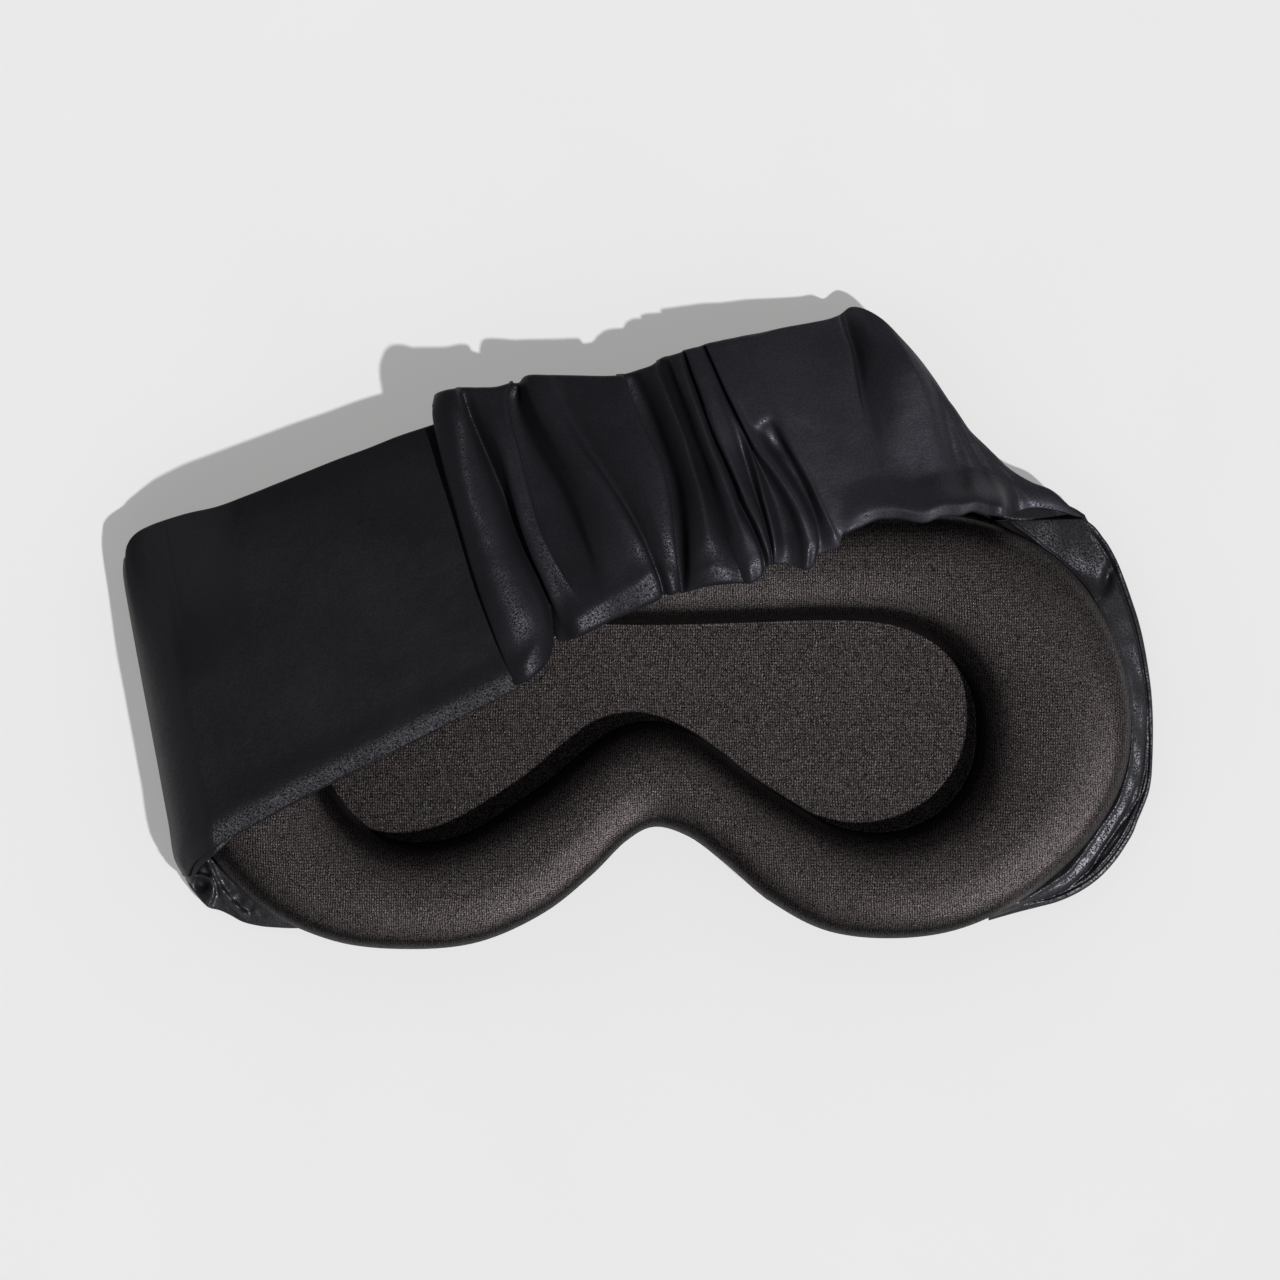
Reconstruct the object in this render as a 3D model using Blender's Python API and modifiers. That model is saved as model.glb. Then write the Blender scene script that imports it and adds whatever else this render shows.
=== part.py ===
"""Contoured sleep eye mask with a wide satin strap, lying on its outer face.

The strap is folded over the pad. Dimensions are millimetres, the scene is in metres. +Z is up and
away from the outer face, +Y is towards the brow, +X is along the mask. The origin is on the flat
outer face, on the centre line of the nose bridge.
"""

import math

import bmesh
import bpy

MM = 0.001

# ---------------------------------------------------------------- shared dimensions (mm)
CLEAR = 0.3                 # gap between neighbouring layers
WELD_DISTANCE = 0.01
SHARP_ANGLE = 40            # degrees
STITCH_RADIUS = 0.3

# Front cover and the flat sheets stacked in it; each Z pair is (bottom, top).
COVER_T = 0.7
COVER_RIM_Z = 6.0
COVER_MARGIN = 2.5          # cover beyond the pad at the brow and sides
COVER_TUCK = 0.6            # cover under the pad at the cheeks and nose
BATTING_INSET = 5.0         # from the cover's edge
BATTING_Z = (1.4, 4.2)
LINER_INSET = 3.2           # from the cover's edge
LINER_Z = (BATTING_Z[1] + CLEAR, 5.0)
FACING_INSET = 0.2          # from the cover's edge
FACING_HOLE_INSET = 7.0     # from the pad's edge
FACING_Z = (COVER_RIM_Z + CLEAR, 6.9)
BACKING_INSET = FACING_HOLE_INSET + 0.6
BACKING_Z = (LINER_Z[1] + CLEAR, 6.8)

# (growth from the cover's edge, z): up the tray's inside, over its rim, down its outside.
COVER_PROFILE = [(-9, COVER_T), (-4.2, COVER_T + 0.35), (-1.6, 2.6), (-COVER_T, COVER_RIM_Z),
                 (0, COVER_RIM_Z), (-0.9, 2.3), (-3.8, 0.35), (-9, 0.0)]

# ---------------------------------------------------------------- pad dimensions (mm)
LOOP_POINTS = 66            # stations round the pad
OUTLINE_STEPS = 12          # spline points to each span of the outlines
FLOOR_Z = 7.8               # face of the eye recess
PAD_BASE_Z = FACING_Z[1] + CLEAR
LINING_T = 0.7
RIM_FOOT_SHARE = 0.98       # beyond this share the lining's back is level with its face
PAD_STITCH_GROWTH = 0.65    # outwards from the pad's edge
PAD_STITCH_Z = 7.3

# (x, y) half outlines from the brow centre, round the right side, to the nose centre.
# The two tables correspond row by row.
PAD_HALF = [
    (0, 54.5), (28, 54.5), (56, 53.7), (80, 50.5), (99, 43), (112, 30.5), (118.5, 12), (118, -8),
    (111, -26), (96, -41), (78, -49.4), (60, -52.6), (43, -51), (28, -43.6), (17, -34.5),
    (8.5, -27), (0, -24.3)]
RECESS_HALF = [
    (0, 26.5), (24, 27), (46, 27.7), (62, 26.3), (73.5, 20.5), (81, 11), (84, 0.5), (82.5, -11.5),
    (76.5, -21.5), (66.5, -27.5), (55.5, -28.8), (45, -25.8), (36, -20), (26, -12.8), (16, -5.2),
    (8.5, -0.3), (0, 1.5)]

# (share of the rim's width from the recess outwards, height of the lining above the floor)
RIM_PROFILE = [
    (0.0, 0.0), (0.055, 4.6), (0.13, 8.8), (0.25, 11.9), (0.40, 13.1), (0.55, 13.2),
    (0.70, 12.5), (0.83, 10.6), (0.93, 7.4), (0.985, 3.2), (1.0, -0.6)]

# ---------------------------------------------------------------- wing dimensions (mm)
WING_GAP = 0.45             # between the cover's edge and a wing
WING_FOLD_GAP = 0.6         # between the left wing and the fold line
LEFT_WING_Z = (2.2, 3.4)
RIGHT_WING_Z = (4.4, 6.8)
WING_CENTRE_X = 60          # a wing's inner edge is ordered by angle about this x, on each side
WING_STITCH_GROWTH = 1.75   # outwards from the pad's edge
WING_STITCH_MIN_X = 92
WING_STITCH_TOP_Y = 44
WING_STITCH_Z = 7.25

# (x, y) where the left wing's outline starts, at the brow.
LEFT_WING_START = (-104.0, 52.0)
# (x, y) satin corner below the left fold, from the cover's edge out to the fold.
LEFT_CORNER = [(-98, -47.2), (-104.5, -46.3), (-110, -43.0), (-113.5, -39.5)]
# Places across the strap for the left wing's outer edge, from the cheek up to the brow.
LEFT_WING_ACROSS = (-41.0, -30, -18, -6, 6, 18, 30, 41.0)
# (x, y) outer edge of the right wing, from the brow side down.
RIGHT_WING_EDGE = [
    (101, 56.5), (110, 52.5), (117.5, 41), (122.5, 25), (125, 9), (125.5, 0), (124, -13),
    (120.5, -23.5), (115, -31), (109, -38), (101, -42.5), (93, -45)]

# ---------------------------------------------------------------- strap dimensions (mm)
# In its own plan frame, "along" runs from the left fold and "across" runs towards the brow.
STRAP_ORIGIN = (-123.75, 5.0)
ALONG_AXIS = (0.98328, 0.18210)
ACROSS_AXIS = (-ALONG_AXIS[1], ALONG_AXIS[0])
SLOPE_STEP = 0.004          # half the span used to measure the strap's slope

FOLD_Z = 5.0                # height of the left fold's axis
FOLD_START, FOLD_END = 0.2, 13.0    # the strap climbs the pad's side between these
STRAP_Z = 22.9              # middle of the strap where it lies on the pad
LEFT_SEAM = 85.8
RIGHT_SEAM = 163.5
SEAM_GAP = 1.0              # half of the gap that lets a seam bend

PLY_T = 0.6                 # one satin ply
BATTING_T = 1.3             # wadding between the plies
PLY_OFFSET = BATTING_T / 2 + CLEAR + PLY_T / 2      # between the middles of ply and strap
STRAP_DIVISIONS = 5

GATHER_WIDTH = 1.5
GATHER_T = 2.4
GATHER_INSET = 0.6
SLEEVE_OUTER_OFFSET = 2.6   # the gathered sleeve stands proud of its elastic
SLEEVE_DIVISIONS = 6
SLEEVE_STEPS = 10
ELASTIC_T = 1.2
ELASTIC_INSET = 6.0
ELASTIC_DIVISIONS = 4
SEAM_STITCH_OFFSET = 1.9
SEAM_STITCH_INSET = 1.5
SEAM_STITCH_DIVISIONS = 8

# (along, across) edges of the strap: towards the brow, then towards the nose.
STRAP_TOP = [
    (0, 41.2), (30, 47.5), (60, 52.5), (84, 58), (87, 63.5), (118, 62.5), (152, 64.7),
    (175, 66.5), (189, 67), (199, 54), (207, 40.5), (213, 29), (219, 19), (228, 11.8),
    (238.5, 5.0)]
STRAP_BOTTOM = [
    (0, -41.2), (30, -29.5), (60, -20), (84, -12), (90, -10.5), (104, -4), (120, -5), (140, -1),
    (158, 2), (175, 8.7), (191, 11.6), (205, 11.5), (219, 9.0), (232, 5.0), (238.5, 1.8)]
# (along, drop below STRAP_Z)
RIGHT_DROP = [(163, 0.0), (178, 0.0), (190, 0.6), (205, 5.0), (220, 10.0), (232, 12.6),
              (240, 13.2)]

# Angles in degrees that space the rows where the strap climbs from the fold.
CLIMB_ANGLES = (7, 18, 30, 42, 54, 66, 78, 90)
LEFT_STATIONS = [FOLD_END - (FOLD_END - FOLD_START) * math.cos(math.radians(angle))
                 for angle in CLIMB_ANGLES]
LEFT_STATIONS += [24, 34, 46, 58, 72, LEFT_SEAM - SEAM_GAP]
RIGHT_STATIONS = [RIGHT_SEAM + SEAM_GAP, 172, 181, 190, 198, 206, 213, 220, 226, 231]


# ---------------------------------------------------------------- outlines
def spline_through(points, steps, closed):
    """Points of a Catmull-Rom curve through the given points, steps to each span."""
    count = len(points)
    curve = []
    for i in range(count if closed else count - 1):
        if closed:
            controls = [points[(i + k) % count] for k in (-1, 0, 1, 2)]
        else:
            controls = [points[min(max(i + k, 0), count - 1)] for k in (-1, 0, 1, 2)]
        for step in range(steps):
            t = step / steps
            curve.append(tuple(
                0.5 * (2 * p1 + (p2 - p0) * t
                       + (2 * p0 - 5 * p1 + 4 * p2 - p3) * t * t
                       + (3 * p1 - p0 - 3 * p2 + p3) * t ** 3)
                for p0, p1, p2, p3 in zip(*controls)))
    if not closed:
        curve.append(tuple(points[-1]))
    return curve


def mirrored(half):
    """A closed control loop from a half that starts and ends on the centre line."""
    return half + [(-x, y) for x, y in reversed(half[1:-1])]


def paired_loops(count):
    """The pad's and the recess's outlines, station by station, counter-clockwise from above."""
    controls = [pad + recess for pad, recess in zip(mirrored(PAD_HALF), mirrored(RECESS_HALF))]
    curve = spline_through(controls, OUTLINE_STEPS, closed=True)
    spans = list(zip(curve, curve[1:] + curve[:1]))
    marks = [0.0]
    for start, end in spans:
        marks.append(marks[-1] + math.hypot(end[0] - start[0], end[1] - start[1]))

    # Stations are evenly spaced along the pad's outline.
    stations = []
    span = 0
    for i in range(count):
        wanted = marks[-1] * i / count
        while marks[span + 1] < wanted:
            span += 1
        t = (wanted - marks[span]) / (marks[span + 1] - marks[span])
        stations.append([a + (b - a) * t for a, b in zip(*spans[span])])
    stations.reverse()
    return [tuple(s[:2]) for s in stations], [tuple(s[2:]) for s in stations]


def grown(loop, amount):
    """A counter-clockwise loop moved outwards by amount, a number or a function of the point."""
    result = []
    for i, (x, y) in enumerate(loop):
        before, after = loop[i - 1], loop[(i + 1) % len(loop)]
        dx, dy = after[0] - before[0], after[1] - before[1]
        size = math.hypot(dx, dy)
        distance = amount(x, y) if callable(amount) else amount
        result.append((x + dy / size * distance, y - dx / size * distance))
    return result


def at_height(points, z):
    return [(x, y, z) for x, y in points]


def cover_growth(x, y):
    """Wider than the pad at the brow and sides, easing to under it at the cheeks and nose."""
    start_y, ease_length = (-36, 24) if abs(x) > 60 else (-10, 20)
    t = min(max((y - start_y) / ease_length, 0), 1)
    return -COVER_TUCK + (COVER_TUCK + COVER_MARGIN) * t * t * (3 - 2 * t)


PAD, RECESS = paired_loops(LOOP_POINTS)
COVER = grown(PAD, cover_growth)


# ---------------------------------------------------------------- the strap's plan frame
def interpolate(table, x):
    """Smooth interpolation in a table of (x, value), held level beyond its ends."""
    if x <= table[0][0]:
        return table[0][1]
    if x > table[-1][0]:
        return table[-1][1]

    def slope(i):
        (low_x, low), (high_x, high) = table[max(i - 1, 0)], table[min(i + 1, len(table) - 1)]
        return (high - low) / (high_x - low_x)

    i = next(k for k in range(len(table) - 1) if x <= table[k + 1][0])
    (start_x, start), (end_x, end) = table[i], table[i + 1]
    width = end_x - start_x
    t = (x - start_x) / width
    return ((2 * t ** 3 - 3 * t * t + 1) * start
            + (t ** 3 - 2 * t * t + t) * width * slope(i)
            + (3 * t * t - 2 * t ** 3) * end
            + (t ** 3 - t * t) * width * slope(i + 1))


def strap_plan(along, across):
    """The (x, y) of a place on the strap."""
    return tuple(STRAP_ORIGIN[k] + ALONG_AXIS[k] * along + ACROSS_AXIS[k] * across
                 for k in range(2))


def strap_height(along):
    """Middle of the strap: up from the fold, flat over the pad, down to the right."""
    if along < FOLD_END:
        share = (FOLD_END - along) / (FOLD_END - FOLD_START)
        return FOLD_Z + (STRAP_Z - FOLD_Z) * math.sqrt(1 - share * share)
    return STRAP_Z - interpolate(RIGHT_DROP, along)


def strap_row(along, offset, inset, divisions):
    """Points from edge to edge of the strap, offset along the strap's own normal."""
    rise = strap_height(along + SLOPE_STEP) - strap_height(along - SLOPE_STEP)
    slope = rise / (2 * SLOPE_STEP)
    lift = offset / math.sqrt(slope * slope + 1)
    low = interpolate(STRAP_BOTTOM, along) + inset
    high = interpolate(STRAP_TOP, along) - inset
    row = []
    for k in range(divisions + 1):
        x, y = strap_plan(along, low + (high - low) * k / divisions)
        row.append((x - slope * ALONG_AXIS[0] * lift,
                    y - slope * ALONG_AXIS[1] * lift,
                    strap_height(along) + lift))
    return row


# ---------------------------------------------------------------- Blender helpers
def clear_scene():
    """Remove every object and return a new collection for the mask."""
    for obj in list(bpy.data.objects):
        bpy.data.objects.remove(obj)
    collection = bpy.data.collections.new("sleep_mask")
    bpy.context.scene.collection.children.link(collection)
    return collection


def make_material(name, colour, roughness):
    made = bpy.data.materials.new(name)
    made.use_nodes = True
    shader = made.node_tree.nodes["Principled BSDF"]
    shader.inputs["Base Color"].default_value = (*colour, 1)
    shader.inputs["Roughness"].default_value = roughness
    shader.inputs["Metallic"].default_value = 0.0
    return made


def place(name, data, material, parent=None):
    """A new object that keeps its place in the world when it has a parent."""
    obj = bpy.data.objects.new(name, data)
    obj.data.materials.append(material)
    HOME.objects.link(obj)
    if parent:
        obj.parent = parent
        obj.matrix_parent_inverse = parent.matrix_world.inverted()
    return obj


def add_vertices(bm, points):
    return [bm.verts.new((x * MM, y * MM, z * MM)) for x, y, z in points]


def finish_mesh(name, bm, material, parent=None):
    bmesh.ops.remove_doubles(bm, verts=bm.verts, dist=WELD_DISTANCE * MM)
    bmesh.ops.recalc_face_normals(bm, faces=bm.faces)
    mesh = bpy.data.meshes.new(name)
    bm.to_mesh(mesh)
    bm.free()
    mesh.shade_smooth()
    mesh.set_sharp_from_angle(angle=math.radians(SHARP_ANGLE))
    return place(name, mesh, material, parent)


def loft(name, rings, material, capped):
    """Faces between rings of equal length, with end caps or with the last joined to the first."""
    bm = bmesh.new()
    made = [add_vertices(bm, ring) for ring in rings]
    pairs = list(zip(made, made[1:]))
    if not capped:
        pairs.append((made[-1], made[0]))
    for ring, following in pairs:
        for i in range(len(ring)):
            j = (i + 1) % len(ring)
            bm.faces.new((ring[i], ring[j], following[j], following[i]))
    if capped:
        bm.faces.new(list(reversed(made[0])))
        bm.faces.new(made[-1])
    finish_mesh(name, bm, material)


def add_poly_spline(curve, points, cyclic):
    spline = curve.splines.new("POLY")
    spline.points.add(len(points) - 1)
    for point, (x, y, z) in zip(spline.points, points):
        point.co = (x * MM, y * MM, z * MM, 1)
    spline.use_cyclic_u = cyclic


def plate(name, loops, z_range, material):
    """A flat sheet: the first loop is its edge, any other is a hole in it."""
    bottom, top = z_range
    curve = bpy.data.curves.new(name, "CURVE")
    curve.dimensions = "2D"
    curve.fill_mode = "BOTH"
    curve.extrude = (top - bottom) / 2 * MM
    for loop in loops:
        add_poly_spline(curve, at_height(loop, 0), cyclic=True)
    obj = place(name, curve, material)
    obj.location.z = (bottom + top) / 2 * MM


def stitch(name, points, closed=False, parent=None):
    """A thread: a bevelled poly curve through the points."""
    curve = bpy.data.curves.new(name, "CURVE")
    curve.dimensions = "3D"
    curve.fill_mode = "FULL"
    curve.bevel_depth = STITCH_RADIUS * MM
    curve.bevel_resolution = 0
    curve.use_fill_caps = not closed
    add_poly_spline(curve, points, cyclic=closed)
    place(name, curve, THREAD, parent)


def ribbon(name, stations, divisions, offset, thickness, inset, material, parent):
    """One layer of the strap: an open grid, thickened both ways by Solidify."""
    bm = bmesh.new()
    rows = [add_vertices(bm, strap_row(along, offset, inset, divisions)) for along in stations]
    for row, following in zip(rows, rows[1:]):
        for k in range(divisions):
            bm.faces.new((row[k], following[k], following[k + 1], row[k + 1]))
    obj = finish_mesh(name, bm, material, parent)
    solid = obj.modifiers.new("thickness", "SOLIDIFY")
    solid.thickness = thickness * MM
    solid.offset = 0.0
    solid.use_even_offset = True


def axis_empty(name, along, z):
    """An empty on a joint's line, with its own Y along the line."""
    x, y = strap_plan(along, 0)
    empty = bpy.data.objects.new(name, None)
    empty.empty_display_size = 0.02
    empty.location = (x * MM, y * MM, z * MM)
    empty.rotation_euler.z = math.atan2(ALONG_AXIS[1], ALONG_AXIS[0])
    HOME.objects.link(empty)
    # The pieces parented to it read its world matrix.
    bpy.context.view_layer.update()
    return empty


# ---------------------------------------------------------------- front cover and its sheets
def build_front():
    """The outer satin cover, a shallow tray with a flat outer face, and the sheets over it."""
    loft("front_cover", [at_height(grown(COVER, growth), z) for growth, z in COVER_PROFILE],
         SATIN, capped=True)
    plate("front_batting", [grown(COVER, -BATTING_INSET)], BATTING_Z, WADDING)
    plate("blackout_liner", [grown(COVER, -LINER_INSET)], LINER_Z, BLACKOUT)
    plate("inner_facing", [grown(COVER, -FACING_INSET), grown(PAD, -FACING_HOLE_INSET)],
          FACING_Z, SATIN)
    plate("recess_backing", [grown(PAD, -BACKING_INSET)], BACKING_Z, FOAM)


# ---------------------------------------------------------------- padded rim
def rim_ring(share, z, inset=0.0):
    """A ring at a share of the way from the recess's edge to the pad's, both edges inset."""
    ring = []
    for (outer_x, outer_y), (inner_x, inner_y) in zip(PAD, RECESS):
        dx, dy = outer_x - inner_x, outer_y - inner_y
        size = math.hypot(dx, dy)
        distance = inset + (size - 2 * inset) * share
        ring.append((inner_x + dx / size * distance, inner_y + dy / size * distance, z))
    return ring


def build_lining():
    """Knit lining: over the crowned rim, down into the eye recess and across its floor."""
    face = [rim_ring(share, FLOOR_Z + height) for share, height in RIM_PROFILE]
    back = []
    for share, height in reversed(RIM_PROFILE):
        depth = LINING_T if share < RIM_FOOT_SHARE else 0.0
        back.append(rim_ring(share, FLOOR_Z + height - depth, LINING_T))
    loft("face_lining", face + back, KNIT, capped=True)


def build_foam_rim():
    """Moulded foam under the lining, flat at the pad's base."""
    inset = LINING_T + CLEAR
    rings = [rim_ring(share, max(FLOOR_Z + height - inset, PAD_BASE_Z), inset)
             for share, height in RIM_PROFILE]
    loft("foam_rim", rings, FOAM, capped=False)


def build_pad_stitch():
    """Thread round the pad's base."""
    stitch("pad_stitch", at_height(grown(PAD, PAD_STITCH_GROWTH), PAD_STITCH_Z), closed=True)


# ---------------------------------------------------------------- satin wings
def build_left_wing():
    """Satin side panel from the cover's edge out to the left fold."""
    inner = [(x, y) for x, y in grown(COVER, WING_GAP) if x < -84 and -46.0 < y < 52.5]
    # From the brow down: the modulo keeps the angles rising past 180 degrees.
    inner.sort(key=lambda p: math.atan2(p[1], p[0] + WING_CENTRE_X) % (2 * math.pi))
    fold_edge = [strap_plan(-WING_FOLD_GAP, across) for across in LEFT_WING_ACROSS]
    plate("left_wing", [[LEFT_WING_START] + inner + LEFT_CORNER + fold_edge],
          LEFT_WING_Z, SATIN)


def build_right_wing():
    """Satin side panel beyond the cover's right edge."""
    inner = [(x, y) for x, y in grown(COVER, WING_GAP) if x > 84 and -44.5 < y < 53.0]
    inner.sort(key=lambda p: math.atan2(p[1], p[0] - WING_CENTRE_X))
    outer = spline_through(RIGHT_WING_EDGE, 2, closed=False)
    plate("right_wing", [inner + outer], RIGHT_WING_Z, SATIN)


def build_wing_stitch(name, side, bottom_y):
    """A row of thread that follows the pad's edge; side is -1 for left, 1 for right."""
    points = [(x, y) for x, y in grown(PAD, WING_STITCH_GROWTH)
              if side * x > WING_STITCH_MIN_X and bottom_y < y < WING_STITCH_TOP_Y]
    points.sort(key=lambda p: p[1])
    stitch(name, at_height(points, WING_STITCH_Z))


# ---------------------------------------------------------------- strap
def build_strap_panel(side, stations, batting_stations, batting_inset, parent):
    """Two satin plies with wadding between them."""
    for layer, rows, offset, thickness, inset, material in (
            ("inner", stations, -PLY_OFFSET, PLY_T, 0.0, SATIN),
            ("batting", batting_stations, 0.0, BATTING_T, batting_inset, WADDING),
            ("outer", stations, PLY_OFFSET, PLY_T, 0.0, SATIN)):
        ribbon(f"{side}_strap_{layer}", rows, STRAP_DIVISIONS, offset, thickness, inset,
               material, parent)


def build_gather_seam(side, start, parent):
    """The narrow satin band at one end of the sleeve, and the thread along its middle."""
    ribbon(f"gather_seam_{side}", [start, start + GATHER_WIDTH], SLEEVE_DIVISIONS,
           0.0, GATHER_T, GATHER_INSET, SATIN, parent)
    stitch(f"{side}_seam_stitch",
           strap_row(start + GATHER_WIDTH / 2, SEAM_STITCH_OFFSET, SEAM_STITCH_INSET,
                     SEAM_STITCH_DIVISIONS),
           parent=parent)


def build_sleeve(parent):
    """The gathered satin sleeve and the elastic inside it."""
    margin = SEAM_GAP + GATHER_WIDTH + CLEAR
    start, end = LEFT_SEAM + margin, RIGHT_SEAM - margin
    stations = [start + (end - start) * k / SLEEVE_STEPS for k in range(SLEEVE_STEPS + 1)]
    for name, divisions, offset, thickness, inset, material in (
            ("sleeve_inner", SLEEVE_DIVISIONS, -PLY_OFFSET, PLY_T, 0.0, SATIN),
            ("elastic_band", ELASTIC_DIVISIONS, 0.0, ELASTIC_T, ELASTIC_INSET, ELASTIC),
            ("sleeve_outer", SLEEVE_DIVISIONS, SLEEVE_OUTER_OFFSET, PLY_T, 0.0, SATIN)):
        ribbon(name, stations, divisions, offset, thickness, inset, material, parent)


def build_strap():
    left_fold = axis_empty("left_fold_axis", 0.0, FOLD_Z)
    left_seam = axis_empty("left_seam_axis", LEFT_SEAM, STRAP_Z)
    right_seam = axis_empty("right_seam_axis", RIGHT_SEAM, STRAP_Z)

    build_strap_panel("left", LEFT_STATIONS, LEFT_STATIONS, batting_inset=2.0, parent=left_fold)
    build_gather_seam("left", LEFT_SEAM + SEAM_GAP, left_seam)
    build_sleeve(left_seam)
    build_gather_seam("right", RIGHT_SEAM - SEAM_GAP - GATHER_WIDTH, right_seam)
    # The right wadding stops one station short of the tip.
    build_strap_panel("right", RIGHT_STATIONS, RIGHT_STATIONS[:-1], batting_inset=1.2,
                      parent=right_seam)


# ---------------------------------------------------------------- scene
HOME = clear_scene()

SATIN = make_material("satin", colour=(0.012, 0.012, 0.015), roughness=0.38)
KNIT = make_material("knit", colour=(0.030, 0.028, 0.028), roughness=0.85)
FOAM = make_material("foam", colour=(0.06, 0.06, 0.065), roughness=0.9)
WADDING = make_material("wadding", colour=(0.55, 0.55, 0.55), roughness=0.95)
BLACKOUT = make_material("blackout", colour=(0.01, 0.01, 0.01), roughness=0.8)
THREAD = make_material("thread", colour=(0.02, 0.02, 0.024), roughness=0.5)
ELASTIC = make_material("elastic", colour=(0.03, 0.03, 0.03), roughness=0.8)

build_front()
build_lining()
build_foam_rim()
build_pad_stitch()
build_left_wing()
build_right_wing()
build_wing_stitch("left_wing_stitch", side=-1, bottom_y=14)
build_wing_stitch("right_wing_stitch", side=1, bottom_y=-8)
build_strap()
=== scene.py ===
"""A padded, contoured sleep mask with its satin strap laid over it.

The mask lies face lining up on the floor at z = 0: x runs across it, the brow is at +y.
The strap folds over at the left end, crosses the mask and the brow, gathers into a sleeve
and comes down to the right corner. Sizes are in mm unless a name or comment says otherwise.
"""
import math

import bmesh
import bpy
import numpy as np
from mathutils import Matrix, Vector, noise


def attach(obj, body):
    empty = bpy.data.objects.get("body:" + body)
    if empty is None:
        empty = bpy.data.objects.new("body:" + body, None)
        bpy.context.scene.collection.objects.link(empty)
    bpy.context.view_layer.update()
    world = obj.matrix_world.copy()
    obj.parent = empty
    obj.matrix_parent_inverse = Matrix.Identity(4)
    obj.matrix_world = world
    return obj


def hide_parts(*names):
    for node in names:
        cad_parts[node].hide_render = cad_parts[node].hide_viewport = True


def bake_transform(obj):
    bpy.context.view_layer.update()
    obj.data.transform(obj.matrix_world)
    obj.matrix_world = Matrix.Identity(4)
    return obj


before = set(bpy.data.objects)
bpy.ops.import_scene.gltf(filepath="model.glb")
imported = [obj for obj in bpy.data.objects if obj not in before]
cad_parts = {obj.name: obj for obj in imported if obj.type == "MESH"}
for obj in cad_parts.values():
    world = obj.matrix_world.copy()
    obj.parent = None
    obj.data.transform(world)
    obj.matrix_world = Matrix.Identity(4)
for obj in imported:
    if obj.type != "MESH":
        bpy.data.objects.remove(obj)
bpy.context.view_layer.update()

MM = 0.001

# The strap's own plan frame: "along" runs right from the left fold, "across" towards the brow.
STRAP_ORIGIN = np.array([-123.75, 5.0])
STRAP_ALONG = np.array([0.98328, 0.18210])
STRAP_ACROSS = np.array([-STRAP_ALONG[1], STRAP_ALONG[0]])


def to_strap(x, y):
    offset = np.array([x, y]) - STRAP_ORIGIN
    return float(offset @ STRAP_ALONG), float(offset @ STRAP_ACROSS)


def plan(along, across):
    point = STRAP_ORIGIN + STRAP_ALONG * along + STRAP_ACROSS * across
    return float(point[0]), float(point[1])


# ------------------------------------------------------------------ curves
def outline(text):
    """Points from text: commas between points, spaces between the coordinates of one."""
    return np.array([[float(number) for number in point.split()] for point in text.split(",")])


def catmull(points, samples, closed=False):
    """Centripetal Catmull-Rom curve through the points, with this many samples in each span."""
    points = np.asarray(points, float)
    if closed:
        padded = np.vstack([points[-1:], points, points[:2]])
    else:
        padded = np.vstack([2 * points[0] - points[1], points, 2 * points[-1] - points[-2]])

    def between(start, end, first, second):
        return (end - here) / (end - start) * first + (here - start) / (end - start) * second

    curve = []
    for p0, p1, p2, p3 in zip(padded, padded[1:], padded[2:], padded[3:]):
        t0 = 0.0
        t1 = t0 + max(np.linalg.norm(p1 - p0), 1e-6) ** 0.5
        t2 = t1 + max(np.linalg.norm(p2 - p1), 1e-6) ** 0.5
        t3 = t2 + max(np.linalg.norm(p3 - p2), 1e-6) ** 0.5
        for step in range(samples):
            here = t1 + (t2 - t1) * step / samples
            a1 = between(t0, t1, p0, p1)
            a2 = between(t1, t2, p1, p2)
            a3 = between(t2, t3, p2, p3)
            b1 = between(t0, t2, a1, a2)
            b2 = between(t1, t3, a2, a3)
            curve.append(between(t1, t2, b1, b2))
    if not closed:
        curve.append(points[-1])
    return np.array(curve)


def run_lengths(points):
    """Length from the start of a polyline to each of its points."""
    return np.r_[0, np.cumsum(np.linalg.norm(np.diff(points, axis=0), axis=1))]


def at_length(points, lengths, wanted):
    return np.stack([np.interp(wanted, lengths, column) for column in points.T], -1)


def even(points, count, closed=False):
    """Points evenly spaced along a polyline by plan length."""
    points = np.asarray(points, float)
    if closed:
        points = np.vstack([points, points[:1]])
    lengths = run_lengths(points[:, :2])
    if closed:
        wanted = np.linspace(0, lengths[-1], count + 1)[:-1]
    else:
        wanted = np.linspace(0, lengths[-1], count)
    return at_length(points, lengths, wanted)


def nearest(point, path):
    """Distance from a plan point to a path, and the share of the path at the nearest place."""
    starts, steps = path[:-1], np.diff(path, axis=0)
    along = np.clip(((point - starts) * steps).sum(1) / (steps ** 2).sum(1), 0, 1)
    gaps = np.linalg.norm(point - starts - steps * along[:, None], axis=1)
    best = int(np.argmin(gaps))
    sizes = np.linalg.norm(steps, axis=1)
    share = (sizes[:best].sum() + along[best] * sizes[best]) / sizes.sum()
    return float(gaps[best]), float(share)


def smooth(value, start, end):
    t = np.clip((value - start) / (end - start), 0, 1)
    return t * t * (3 - 2 * t)


def bell(value, width):
    return math.exp(-(value / width) ** 2)


def wander(x, y, scale, seed):
    """Slow noise of plan position in -1..1."""
    return noise.noise(Vector((x / scale + seed, y / scale - seed * 0.7, seed)))


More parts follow.
